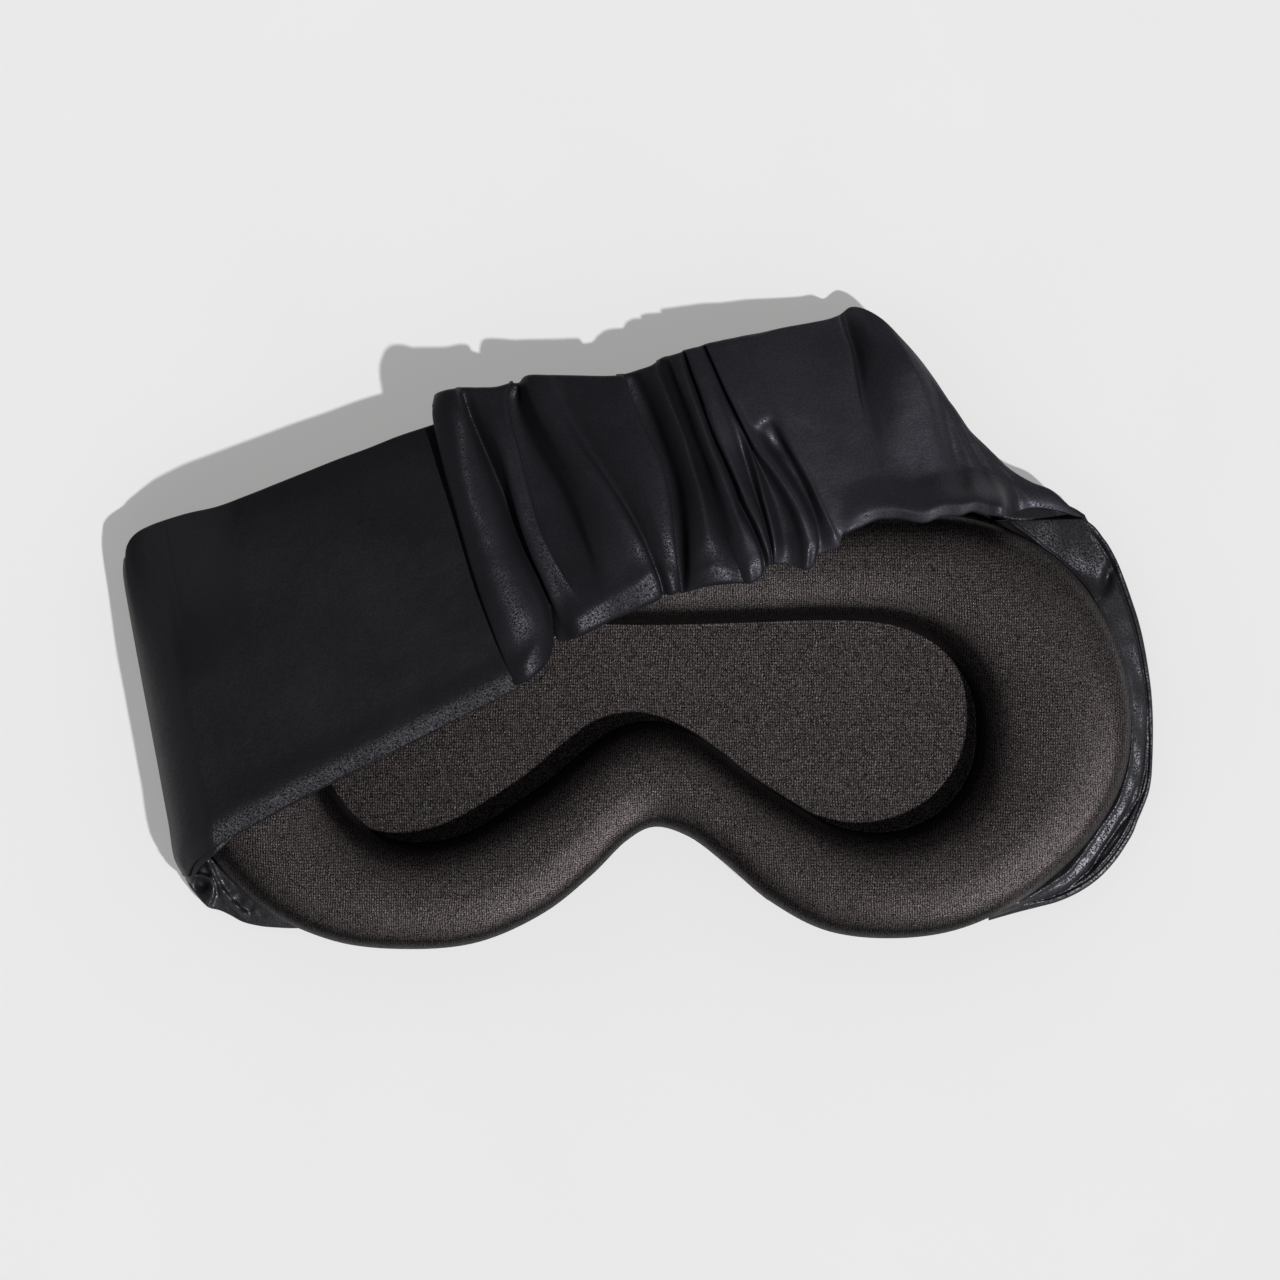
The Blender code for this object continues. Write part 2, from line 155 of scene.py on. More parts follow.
# ------------------------------------------------------------------ meshes
def object_from(name, verts, faces, mat):
    """A smooth object from vertices in metres, with sharp edges round its end caps."""
    mesh = bpy.data.meshes.new(name)
    mesh.from_pydata([tuple(v) for v in verts], [], faces)
    mesh.validate()
    bm = bmesh.new()
    bm.from_mesh(mesh)
    bmesh.ops.recalc_face_normals(bm, faces=bm.faces)
    bm.to_mesh(mesh)
    bm.free()
    mesh.shade_smooth()
    # an end cap meets the sides at a real edge, so it doesn't bend their shading
    cap_sides = max(len(face) for face in faces)
    if cap_sides > 4:
        capped = set()
        for poly in mesh.polygons:
            if len(poly.vertices) == cap_sides:
                capped.update(poly.edge_keys)
        for edge in mesh.edges:
            if edge.key in capped:
                edge.use_edge_sharp = True
    return link_object(name, mesh, mat)


def link_object(name, mesh, mat):
    obj = bpy.data.objects.new(name, mesh)
    obj.data.materials.append(mat)
    bpy.context.scene.collection.objects.link(obj)
    return obj


def loft(name, rings, mat):
    """A closed solid through rings of equal length."""
    rings = [np.asarray(ring, float) * MM for ring in rings]
    count, size = len(rings), len(rings[0])
    faces = []
    for i in range(count - 1):
        near, far = i * size, (i + 1) * size
        for k in range(size):
            j = (k + 1) % size
            faces.append((near + k, near + j, far + j, far + k))
    faces.append(tuple(reversed(range(size))))
    faces.append(tuple(range((count - 1) * size, count * size)))
    return object_from(name, np.vstack(rings), faces, mat)


def sheet(name, grid, mat, thickness, up=True):
    """A thin closed cloth. The grid (rows, columns, 3) is its outer face; up: it looks to +z."""
    grid = np.asarray(grid, float) * MM
    rows, columns = grid.shape[:2]
    faces = [(i * columns + k, i * columns + k + 1,
              (i + 1) * columns + k + 1, (i + 1) * columns + k)
             for i in range(rows - 1) for k in range(columns - 1)]
    mesh = bpy.data.meshes.new(name)
    mesh.from_pydata([tuple(v) for v in grid.reshape(-1, 3)], [], faces)
    mesh.update()
    facing = sum(poly.normal.z * poly.area for poly in mesh.polygons)
    if (facing > 0) != up:
        mesh.flip_normals()
    mesh.shade_smooth()
    obj = link_object(name, mesh, mat)
    solid = obj.modifiers.new("cloth", "SOLIDIFY")
    solid.thickness = thickness * MM
    solid.offset = -1.0
    solid.use_rim = True
    apply_modifiers(obj)
    return obj


def apply_modifiers(obj):
    depsgraph = bpy.context.evaluated_depsgraph_get()
    mesh = bpy.data.meshes.new_from_object(
        obj.evaluated_get(depsgraph), preserve_all_data_layers=True, depsgraph=depsgraph)
    obj.modifiers.clear()
    old = obj.data
    obj.data = mesh
    bpy.data.meshes.remove(old)
    mesh.name = obj.name


def cord(points, radius, mat, sides=5):
    """A short thread: a tube along 3-D points."""
    last = len(points) - 1
    rings = []
    for i, point in enumerate(points):
        tangent = points[min(i + 1, last)] - points[max(i - 1, 0)]
        tangent = tangent / np.linalg.norm(tangent)
        side = np.cross(tangent, (0, 0, 1.0))
        side = side / np.linalg.norm(side)
        lift = np.cross(side, tangent)
        rings.append([point + radius * (math.cos(a) * side + math.sin(a) * lift)
                      for a in np.linspace(0, 2 * math.pi, sides, endpoint=False)])
    return loft("stitch", rings, mat)


def join_meshes(name, objs, mat):
    """One object from several closed pieces."""
    verts, faces = [], []
    for obj in objs:
        base = len(verts)
        verts += [tuple(v.co) for v in obj.data.vertices]
        faces += [tuple(i + base for i in poly.vertices) for poly in obj.data.polygons]
    for obj in objs:
        mesh = obj.data
        bpy.data.objects.remove(obj)
        bpy.data.meshes.remove(mesh)
    return object_from(name, verts, faces, mat)


def stitches(name, path, length, gap, radius):
    """A row of separate arched stitches that follows a path."""
    path = np.asarray(path, float)
    lengths = run_lengths(path)
    share = np.linspace(0, 1, 5)
    made = []
    start = 0.4
    while start + length < lengths[-1]:
        points = at_length(path, lengths, start + length * share)
        points[:, 2] += radius * (0.9 * np.sin(math.pi * share) - 0.5)
        made.append(cord(points, radius, THREAD))
        start += length + gap
    return join_meshes(name, made, THREAD)


# ------------------------------------------------------------------ material helpers
class Signal:
    """A node output that takes arithmetic: each operation adds one node."""

    def __init__(self, nodes, socket):
        self.nodes = nodes
        self.socket = socket

    def __add__(self, other):
        return self.nodes.math("ADD", self, other)

    def __radd__(self, other):
        return self.nodes.math("ADD", other, self)

    def __mul__(self, other):
        return self.nodes.math("MULTIPLY", self, other)

    def __rsub__(self, other):
        return self.nodes.math("SUBTRACT", other, self)

    def at_least(self, floor):
        return self.nodes.math("MAXIMUM", self, floor)

    def sine(self):
        return self.nodes.math("SINE", self)

    def waves(self, pitch):
        return (self * (2 * math.pi / pitch)).sine()

    def remap(self, span, to=(0.0, 1.0)):
        """Clamped map from one span to another."""
        node = self.nodes.new("ShaderNodeMapRange", clamp=True)
        self.nodes.put(node.inputs["Value"], self)
        for key, number in zip(("From Min", "From Max", "To Min", "To Max"), (*span, *to)):
            node.inputs[key].default_value = number
        return Signal(self.nodes, node.outputs["Result"])


class Nodes:
    """A material and the nodes that feed its Principled shader."""

    def __init__(self, name):
        self.material = bpy.data.materials.new(name)
        self.material.use_nodes = True
        self.tree = self.material.node_tree
        self.shader = self.tree.nodes["Principled BSDF"]
        self.shader.inputs["Metallic"].default_value = 0.0

    def put(self, socket, value):
        if isinstance(value, Signal):
            self.tree.links.new(value.socket, socket)
        else:
            socket.default_value = value

    def new(self, kind, **settings):
        node = self.tree.nodes.new(kind)
        for key, value in settings.items():
            setattr(node, key, value)
        return node

    def scale(self, vector, factor):
        node = self.new("ShaderNodeVectorMath", operation="SCALE")
        self.put(node.inputs[0], vector)
        self.put(node.inputs["Scale"], factor)
        return Signal(self, node.outputs[0])

    def position(self):
        """Object position in mm."""
        coord = self.new("ShaderNodeTexCoord")
        return self.scale(Signal(self, coord.outputs["Object"]), 1000.0)

    def normal(self):
        return Signal(self, self.new("ShaderNodeNewGeometry").outputs["Normal"])

    def facing(self, normal):
        """How squarely the surface reflects the key light straight up."""
        node = self.new("ShaderNodeVectorMath", operation="DOT_PRODUCT")
        self.put(node.inputs[0], normal)
        node.inputs[1].default_value = GLINT_DIRECTION
        return Signal(self, node.outputs["Value"])

    def split(self, vector):
        node = self.new("ShaderNodeSeparateXYZ")
        self.put(node.inputs[0], vector)
        return [Signal(self, socket) for socket in node.outputs]

    def join(self, x, y, z):
        node = self.new("ShaderNodeCombineXYZ")
        for socket, value in zip(node.inputs, (x, y, z)):
            self.put(socket, value)
        return Signal(self, node.outputs[0])

    def math(self, operation, *values):
        node = self.new("ShaderNodeMath", operation=operation)
        for socket, value in zip(node.inputs, values):
            self.put(socket, value)
        return Signal(self, node.outputs[0])

    def noise(self, vector, scale, detail=2.0, roughness=0.5):
        node = self.new("ShaderNodeTexNoise", noise_dimensions="3D")
        self.put(node.inputs["Vector"], vector)
        node.inputs["Scale"].default_value = scale
        node.inputs["Detail"].default_value = detail
        node.inputs["Roughness"].default_value = roughness
        return Signal(self, node.outputs["Fac"])

    def mix(self, factor, first, second):
        node = self.new("ShaderNodeMix", data_type="RGBA")
        self.put(node.inputs["Factor"], factor)
        for key, colour in (("A", first), ("B", second)):
            self.put(node.inputs[key], colour if isinstance(colour, Signal) else (*colour, 1))
        return Signal(self, node.outputs["Result"])

    def bump(self, height, strength, distance, normal=None):
        """Bump node; its distance is in metres."""
        node = self.new("ShaderNodeBump")
        self.put(node.inputs["Height"], height)
        node.inputs["Strength"].default_value = strength
        node.inputs["Distance"].default_value = distance
        if normal is not None:
            self.put(node.inputs["Normal"], normal)
        return Signal(self, node.outputs["Normal"])

    def set(self, **values):
        """Fills the shader's inputs; underscores stand for spaces in their names."""
        for key, value in values.items():
            self.put(self.shader.inputs[key.replace("_", " ")], value)
        return self.material


# Halfway between straight up and the key light: a surface that looks this way glints.
GLINT_DIRECTION = (0.2315, -0.1924, 0.9537)


# ------------------------------------------------------------------ materials
def satin_material(name, angle=0.0, level=0.112, rough=0.47, base=(0.0064, 0.0061, 0.0072),
                   tint=(0.90, 0.89, 1.0), grain=1.0, fade_x=None, fade_y=None,
                   glint=(0.960, 0.986), side=0.0):
    """Black satin: a broad soft highlight that breaks up into fine flecks.

    angle: direction of the floats; level: specular level; grain: strength of the flecks;
    fade_x, fade_y: (span, specular factors); glint: facing span in which flecks come up;
    side: brightness factor of the painted light on the fold's bend, which faces away from the key
    light.
    """
    n = Nodes(name)
    p = n.position()
    x, y, z = n.split(p)
    cos, sin = math.cos(angle), math.sin(angle)
    along = x * cos + y * sin
    across = x * -sin + y * cos
    floats = n.noise(n.join(along * 0.45, across * 1.6, z * 1.0), scale=1.9, detail=1.0)
    fleck = n.noise(p, scale=2.5, detail=1.2, roughness=0.7)
    twill = (x + y + z * 1.3).waves(pitch=0.62)
    cross = (x + y * -1.0).waves(pitch=0.70)
    weave = twill * 0.5 + cross * 0.5
    slow = n.noise(p, scale=0.045, detail=3.0)
    # painted glint: the flecks are painted stronger where the cloth leans into the key light and
    # weaker elsewhere
    surface = n.normal()
    painted_glint = n.facing(surface).remap(glint, to=(0.2, 1.0))
    flecks = fleck.remap((0.33, 0.67), to=(-1.7 * grain, 2.3 * grain)) + weave * (0.25 * grain)
    amount = 1.0 + flecks * painted_glint
    amount = amount * slow.remap((0.3, 0.7), to=(0.88, 1.12))
    if fade_y:
        amount = amount * y.remap(*fade_y)
    if fade_x:
        amount = amount * x.remap(*fade_x)
    height = floats * 0.5 + (weave * 0.12 + fleck * 0.5)
    normal = n.bump(height, strength=0.5, distance=0.00008)
    creases = n.noise(p, scale=0.22, detail=3.0, roughness=0.55)
    normal = n.bump(creases, strength=0.22, distance=0.0006, normal=normal)
    colour = n.mix(slow.remap((0.35, 0.65)), base, tuple(v * 1.25 for v in base))
    if side:
        # painted light: the fold's bend faces away from the key light, so it is painted greyer
        # than the flat cloth
        lean_x = n.split(surface)[0]
        bend = lean_x.remap((-0.03, -0.42)) * lean_x.remap((-0.70, -0.92), to=(1.0, 0.25))
        colour = n.mix(bend, colour, tuple(v * side for v in base))
    return n.set(Base_Color=colour, Roughness=floats.remap((0.3, 0.7), to=(-0.03, 0.03)) + rough,
                 Specular_IOR_Level=amount.at_least(0.06) * level, Specular_Tint=(*tint, 1),
                 Normal=normal, Sheen_Weight=0.008, Sheen_Roughness=0.4,
                 Sheen_Tint=(0.8, 0.82, 1.0, 1))


def knit_material(name):
    """Charcoal jersey: fine wales along y, bright stitch flecks, a faint warm mottle."""
    n = Nodes(name)
    p = n.position()
    x, y, z = n.split(p)
    bend = (n.noise(p, scale=0.09) + -0.5) * 2.2
    jitter = (n.noise(p, scale=0.9) + -0.5) * 0.35
    wale = (x + bend + jitter).waves(pitch=0.60)
    course_y = y + z * 0.9 + (n.noise(p, scale=0.6) + -0.5) * 0.5
    # the wale shifts the courses out of step, as in a jersey's V-shaped loops
    course = (course_y * (2 * math.pi / 0.72) + wale * 1.1).sine()
    fleck = n.noise(p, scale=3.4, detail=1.2, roughness=0.7)
    bright = n.noise(n.join(x * 1.4, y * 0.9, z), scale=2.9, detail=1.0)
    surface = n.normal()
    lean = 1.0 - n.split(surface)[2]
    tone = wale * lean.remap((0.001, 0.02), to=(0.12, 0.50)) + course * 0.12
    tone = tone + fleck.remap((0.28, 0.72), to=(-1.7, 1.9))
    tone = tone + bright.remap((0.55, 0.72), to=(0.0, 2.1))
    value = (0.86 + tone).at_least(0.22)
    facing = n.facing(surface)
    inside = x.remap((85.0, 92.0), to=(1.0, 0.0))
    # painted shade: the recess's walls are darkened where they turn from the key light
    painted_wall_shade = z.remap((8.0, 8.6)) * z.remap((12.0, 17.0), to=(1.0, 0.0))
    painted_wall_shade = painted_wall_shade * facing.remap((0.93, 0.89)) * inside
    value = value * (1.0 - painted_wall_shade * 0.72)
    # painted shade: the slope that faces away from the key light is darkened further up
    painted_away_shade = z.remap((8.0, 8.6)) * z.remap((19.0, 25.4), to=(1.0, 0.0))
    painted_away_shade = painted_away_shade * facing.remap((0.938, 0.83))
    value = value * (1.0 - painted_away_shade * inside * 0.66)
    # painted shade: the recess's floor is darkened towards the strap's fold
    floor = 1.0 - z.remap((8.6, 9.6))
    value = value * (1.0 - floor * x.remap((0.0, -75.0), to=(0.0, 0.30)))
    # painted highlight: loops that face the key light are painted brighter
    value = value * facing.remap((0.962, 0.990), to=(1.0, 1.5))
    warm = n.noise(p, scale=0.30)
    colour = n.mix(warm.remap((0.38, 0.62)), (0.0052, 0.0047, 0.0045), (0.0070, 0.0048, 0.0051))
    height = wale * 0.4 + course * 0.35 + fleck * 0.8
    return n.set(Base_Color=n.scale(colour, value), Roughness=0.54,
                 Specular_IOR_Level=value * 0.345,
                 Normal=n.bump(height, strength=0.45, distance=0.00012),
                 Specular_Tint=(1.0, 0.87, 0.88, 1), Sheen_Weight=0.01, Sheen_Roughness=0.35,
                 Sheen_Tint=(1.0, 0.95, 0.93, 1))


def thread_material(name):
    n = Nodes(name)
    p = n.position()
    x, y, z = n.split(p)
    ply = (x + y * 1.4 + z).waves(pitch=0.5)
    fuzz = n.noise(p, scale=4.0)
    colour = n.mix(fuzz, (0.012, 0.012, 0.013), (0.030, 0.029, 0.030))
    return n.set(Base_Color=colour, Roughness=0.5, Specular_IOR_Level=0.35,
                 Normal=n.bump(ply + fuzz, strength=0.6, distance=0.00008), Sheen_Weight=0.15)


def foam_material(name):
    n = Nodes(name)
    p = n.position()
    cell = n.new("ShaderNodeTexVoronoi")
    n.put(cell.inputs["Vector"], p)
    cell.inputs["Scale"].default_value = 1.8
    distance = Signal(n, cell.outputs["Distance"])
    colour = n.mix(distance, (0.045, 0.045, 0.048), (0.075, 0.075, 0.08))
    return n.set(Base_Color=colour, Roughness=0.9,
                 Normal=n.bump(distance, strength=0.8, distance=0.0003))


def wadding_material(name):
    n = Nodes(name)
    x, y, z = n.split(n.position())
    fibre = n.noise(n.join(x * 0.25, y * 2.0, z), scale=1.2, detail=4.0, roughness=0.7)
    colour = n.mix(fibre, (0.40, 0.40, 0.40), (0.72, 0.72, 0.70))
    return n.set(Base_Color=colour, Roughness=0.95,
                 Normal=n.bump(fibre, strength=0.7, distance=0.0004), Sheen_Weight=0.3)


def plain_weave_material(name, pitch, dark, light, rough):
    n = Nodes(name)
    p = n.position()
    x, y, z = n.split(p)
    over = x.waves(pitch) * y.waves(pitch)
    height = over + n.noise(p, scale=3.0)
    return n.set(Base_Color=n.mix(over.remap((-1, 1)), dark, light), Roughness=rough,
                 Specular_IOR_Level=0.25, Normal=n.bump(height, strength=0.6, distance=0.00015))


STRAP_ANGLE = math.atan2(STRAP_ALONG[1], STRAP_ALONG[0])
SATIN_STRAP = satin_material("satin_strap", STRAP_ANGLE, side=2.3)
# painted sheen: the sleeve's, the right panel's and the flanges' satin are copies with a stronger
# specular level, and for the sleeve and the right panel a lighter base, standing in for the
# brighter sheen where that cloth faces the key light
SATIN_SLEEVE_PAINTED_SHEEN = satin_material("satin_sleeve_painted_sheen", STRAP_ANGLE + 0.1, level=0.158,
                              base=(0.0074, 0.0072, 0.0090), tint=(0.85, 0.86, 1.0))
SATIN_RIGHT_PAINTED_SHEEN = satin_material("satin_right_painted_sheen", STRAP_ANGLE - 0.2, level=0.33, rough=0.49,
                             base=(0.0090, 0.0086, 0.0108), tint=(0.84, 0.83, 1.0), grain=0.9,
                             fade_x=((12.0, 36.0), (0.60, 1.0)), glint=(0.986, 0.999))
SATIN_EDGE_PAINTED_SHEEN = satin_material("satin_edge_painted_sheen", 0.6, level=0.47, rough=0.49, grain=1.2,
                            fade_y=((20.0, 42.0), (1.0, 0.42)))
SATIN_SHELL = satin_material("satin_shell")
KNIT = knit_material("knit_lining")
THREAD = thread_material("sewing_thread")
FOAM = foam_material("moulded_foam")
WADDING = wadding_material("wadding")
BLACKOUT = plain_weave_material("blackout_cloth", pitch=0.8, dark=(0.006, 0.006, 0.006),
                                light=(0.014, 0.014, 0.014), rough=0.8)
ELASTIC = plain_weave_material("woven_elastic", pitch=1.2, dark=(0.012, 0.012, 0.012),
                               light=(0.035, 0.035, 0.035), rough=0.7)

for node_name, material in (("front_batting", WADDING), ("blackout_liner", BLACKOUT),
                            ("recess_backing", FOAM), ("elastic_band", ELASTIC),
                            ("left_strap_batting", WADDING), ("right_strap_batting", WADDING)):
    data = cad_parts[node_name].data
    data.materials.clear()
    data.materials.append(material)

# ------------------------------------------------------------------ the padded rim
FLOOR_Z = 7.8      # floor of the recess
LOOP_COUNT = 420   # points round the pad

# The recess, from the brow centre round the right eye, the nose and the left eye: x, y.
RECESS_LOOP = [
    (0, 26), (24, 26.6), (46, 27.2), (61, 25.8), (71.8, 20.6), (78.8, 11.4), (81, 0.8),
    (79.3, -10.2), (73.5, -18.8), (64.5, -24.0), (54.5, -25.2), (44.5, -22.8), (35.5, -17.6),
    (25.5, -11.2), (16.5, -4.2), (8.5, 0.8), (0, 2.6), (-8.5, 0.8), (-16.5, -4.6),
    (-25.5, -12.2), (-35.5, -19.2), (-44.5, -24.8), (-54.5, -27.6), (-64.5, -26.8),
    (-73.5, -21.2), (-79.6, -12.0), (-81.3, -0.4), (-78.8, 10.6), (-71.8, 20.2), (-61, 25.6),
    (-46, 27.0), (-24, 26.5)]
# The pad's outer edge, with one point for each point of the recess: x, y.
PAD_LOOP = [
    (0, 54.5), (28, 54.5), (56, 54.2), (80, 52.8), (99, 44.6), (112.2, 29.8), (119.2, 10),
    (118.6, -10), (110.2, -26.3), (95.5, -40.3), (78, -49.2), (61, -51.8), (44, -49.9),
    (29.5, -42.3), (18.5, -33), (9.5, -26.4), (1.2, -24.0), (-5.5, -27.2), (-14.5, -36),
    (-26.5, -45.5), (-43, -52.8), (-60.5, -54.5), (-79, -52.4), (-97, -43.9), (-111, -28.5),
    (-118, -8), (-118.5, 12), (-112, 30.5), (-99, 43), (-80, 50.5), (-56, 53.7), (-28, 54.5)]
# The rim's section: share of the way from recess to pad edge, height over the recess floor.
RIM_SECTION = [
    (0.0, 0.0), (0.006, 0.05), (0.012, 0.6), (0.022, 2.8), (0.036, 5.6), (0.060, 8.1),
    (0.10, 10.1), (0.16, 11.5), (0.25, 12.45), (0.36, 13.0), (0.48, 13.25), (0.60, 13.2),
    (0.71, 12.85), (0.81, 12.2), (0.885, 11.35), (0.94, 10.1), (0.974, 8.2), (0.992, 5.4),
    (0.999, 2.6), (1.0, 0.5), (0.985, -0.45)]


def normals_of(loop):
    """Outward plan normals of a closed loop."""
    step = np.roll(loop, -1, 0) - np.roll(loop, 1, 0)
    step = step / np.linalg.norm(step, axis=1)[:, None]
    return np.stack([step[:, 1], -step[:, 0]], 1)


loops = catmull(np.hstack([PAD_LOOP, RECESS_LOOP]), 16, closed=True)
loops = even(loops, LOOP_COUNT, closed=True)[::-1]
PAD, RECESS = loops[:, :2], loops[:, 2:]
PAD_NORMALS = normals_of(PAD)


def build_pad_skin():
    """Rings from the floor's edge outwards; the floor and the underside close the solid."""
    rings = [np.c_[RECESS + normals_of(RECESS) * -0.35, np.full(LOOP_COUNT, FLOOR_Z)]]
    for share, height in catmull(RIM_SECTION, 3):
        ring = RECESS + (PAD - RECESS) * share
        # small unevenness of moulded foam
        uneven = float(np.clip(height / 6, 0, 1))
        z = [FLOOR_Z + height
             + (0.16 * wander(x, y, 26, 3.0) + 0.05 * wander(x, y, 7, 9.0)) * uneven
             for x, y in ring]
        rings.append(np.c_[ring, z])
    rings.append(np.c_[PAD + PAD_NORMALS * -3.0, np.full(LOOP_COUNT, FLOOR_Z - 0.5)])
    return loft("pad_skin", rings, KNIT)


pad_skin = build_pad_skin()
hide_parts("face_lining", "foam_rim")
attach(pad_skin, "mask")

# ------------------------------------------------------------------ satin shell under the pad
# Distance out from the cover's edge, height, share of the side wrinkles.
SHELL_SECTION = [
    (-3.2, 6.95, 0), (-1.3, 7.0, 0.1), (-0.35, 6.9, 0.4), (0.25, 6.3, 0.9), (0.45, 5.2, 1.0),
    (0.2, 3.9, 1.0), (-0.5, 2.6, 0.9), (-1.7, 1.35, 0.6), (-3.6, 0.45, 0.25),
    (-6.5, 0.08, 0.05), (-9.0, 0.0, 0)]


def growth(x, y):
    """How far the cover's edge stands out from the pad's."""
    share = smooth(y, -36, -12) if abs(x) > 60 else smooth(y, -10, 10)
    return -0.6 + 3.1 * float(share)


def build_shell():
    cover = PAD + PAD_NORMALS * np.array([[growth(x, y)] for x, y in PAD])
    normals = normals_of(cover)
    girth = np.linspace(0, 1, LOOP_COUNT, endpoint=False) * 700
    rings = []
    for out, z, wrinkled in catmull(SHELL_SECTION, 3):
        ring = []
        for turn, point, normal in zip(girth, cover, normals):
            # short puckers where the satin is gathered into the seam, with longer slack folds
            pucker = (0.30 * wander(turn, z * 1.4, 3.4, 2.0)
                      + 0.28 * wander(turn, z * 2.0, 9.0, 5.0))
            x, y = point + normal * (out + wrinkled * pucker)
            ring.append((x, y, z + 0.25 * wrinkled * pucker))
        rings.append(ring)
    return loft("satin_shell", rings, SATIN_SHELL)


satin_shell = build_shell()
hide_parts("front_cover", "inner_facing")
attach(satin_shell, "mask")


# ------------------------------------------------------------------ satin beside the pad
def flange(name, inner, outer, rows, height, roll):
    """Satin between an inner line, tucked under the pad, and a free edge that rolls under.

    height(point, across, share, width): across is 0 at the inner line and 1 at the edge,
    share runs along the flange.
    """
    columns = 34
    inner, outer = even(catmull(inner, 8), rows), even(catmull(outer, 8), rows)
    grid = []
    for i, (start, end) in enumerate(zip(inner, outer)):
        share = i / (rows - 1)
        out = (end - start) / float(np.linalg.norm(end - start))
        end = end - out * (0.9 * roll)
        width = float(np.linalg.norm(end - start))
        row = []
        for distance in (-3.0, -1.5, -0.5):
            point = start + out * distance
            row.append((*point, height(point, 0.0, share, width) - 0.25 + 0.2 * distance))
        for k in range(columns + 1):
            across = k / columns
            point = start + (end - start) * across
            row.append((*point, height(point, across, share, width)))
        edge = height(end, 1.0, share, width)
        for turn in (0.6, 1.2, 1.8, 2.4, 3.0):
            point = end + out * roll * (math.sin(turn) * 0.9)
            row.append((*point, edge - roll * (1 - math.cos(turn))))
        grid.append(row)
    return sheet(name, grid, SATIN_EDGE_PAINTED_SHEEN, 0.5)


# Outlines of the right flange from the brow to the cheek: x y.
RIGHT_INNER = outline(
    "89 52.25, 91 50.5, 93.5 48.75, 97 46, 100.5 43.5, 103.5 41, 106.75 37.75, 109.5 34.5,"
    "112.75 28.5, 115.75 22, 117.75 15.5, 119 9.5, 119.625 3.5, 119.625 -2.5, 119.125 -7.5,"
    "118.125 -11.75, 116.625 -16.5, 114.5 -20.25, 112.5 -23, 109.75 -27, 107.25 -30.5,"
    "103.75 -34.75, 99.5 -37.75, 94.5 -41, 89.75 -44, 85 -46.25")
RIGHT_OUTER = outline(
    "108 52.75, 110.75 50.75, 112.75 48.25, 114.25 46.25, 116.5 42.25, 118.75 36.75,"
    "120.25 32.5, 121.875 27.5, 123.15 22.25, 124.25 16, 125.125 9.5, 125.5 3, 125.5 -3.75,"
    "125.375 -7.75, 125.125 -11.75, 124.5 -15.5, 123 -19.625, 121.75 -22.5, 120.5 -25.75,"
    "118.75 -28.75, 116.75 -31.75, 114.5 -34.5, 112 -37, 109 -39.25, 105.5 -41.25,"
    "101.25 -43, 97 -44.125, 92.5 -45.25, 88 -46.5, 84.5 -47.5")
RIGHT_CREASE = outline("114.75 43.5, 113.75 40.25, 112.75 36.75, 111.25 33.5")
# Depth, width and path of the long folds.
RIGHT_FOLDS = [
    (1.3, 0.6375, outline("124 7.5, 124 -2.5, 123.5 -10, 122 -16.75, 119 -21.5, 115.25 -27,"
                          "112.25 -31.25, 109.5 -35.5, 105 -39, 99 -42")),
    (0.9, 0.4875, outline("122.5 -11.25, 120.25 -17.5, 117.25 -23, 114 -28, 111 -32.5,"
                          "107 -36.5")),
    (0.8, 0.4875, outline("120.25 -20.5, 117 -26.25, 113.75 -30.75, 110 -34.75, 104 -39.5"))]


def right_height(point, across, share, width):
    x, y = point
    from_edge = (1 - across) * width
    brow = 1 - float(smooth(share, 0.0, 0.17))
    z = (8.9 - 2.3 * across ** 1.3) * (1 - brow) + (11.6 + 0.4 * across) * brow
    z += 0.45 * bell(across * width - 0.75, 0.55)   # rolled inner edge
    # grooves beside the free edge: one on the upper part, one on the lower
    upper = float(smooth(share, 0.03, 0.08) * (1 - smooth(share, 0.36, 0.46)))
    z -= 0.85 * bell(from_edge - 1.375, 0.4) * upper
    lower = float(smooth(share, 0.44, 0.52) * (1 - smooth(share, 0.9, 0.98)))
    z -= 0.55 * bell(from_edge - 1.0, 0.35) * lower
    distance, place = nearest(point, RIGHT_CREASE)
    start_x, start_y = RIGHT_CREASE[0]
    run_x, run_y = RIGHT_CREASE[2] - RIGHT_CREASE[0]
    side = 1 if (y - start_y) * run_x - (x - start_x) * run_y > 0 else -1
    z -= 1.5 * bell(distance - side, 1.25) * math.sin(math.pi * min(max(place, 0.05), 0.95))
    for depth, fold_width, path in RIGHT_FOLDS:
        distance, place = nearest(point, path)
        fade = math.sin(math.pi * min(max(place, 0.03), 0.97)) ** 0.6
        z -= depth * bell(distance, fold_width) * fade
    z += 0.30 * wander(x, y * 0.45, 2.6, 11.0) * float(smooth(share, 0.2, 0.3))
    return z + 0.25 * wander(x, y, 7.0, 4.0)


right_flange = flange("right_flange", RIGHT_INNER, RIGHT_OUTER, 300, right_height, roll=0.75)
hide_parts("right_wing")
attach(right_flange, "mask")

# Outlines and features of the lower left corner, from the left end inwards: x y.
CORNER_INNER = outline(
    "-111.75 -28.75, -110.75 -30.75, -109 -32.5, -106.5 -35.25, -104.25 -37.5,"
    "-101.25 -40.25, -98.5 -42.75, -96 -44.75, -93 -46, -90 -47, -87.5 -47.5, -85.5 -47.5")
CORNER_OUTER = outline(
    "-116.5 -34.5, -116.125 -36.75, -115 -39, -113.25 -41.25, -111.5 -43.25, -110 -44.375,"
    "-107.5 -45, -104.75 -46.25, -101.75 -47.875, -97 -49, -92.5 -49.375, -89 -49.5,"
    "-86.5 -49.375, -84.5 -49")
CORNER_FLAP = outline("-115 -36.5, -112.35 -36.125, -109.8 -36.75, -108.95 -38.75,"
                      "-109 -40.875, -110.25 -43.675")
CORNER_RIDGE = outline("-110.5 -32.25, -109 -35.5, -107 -39.5, -104.5 -42.75, -101 -46")
CORNER_HOLLOW = (-111.75, -38.5)


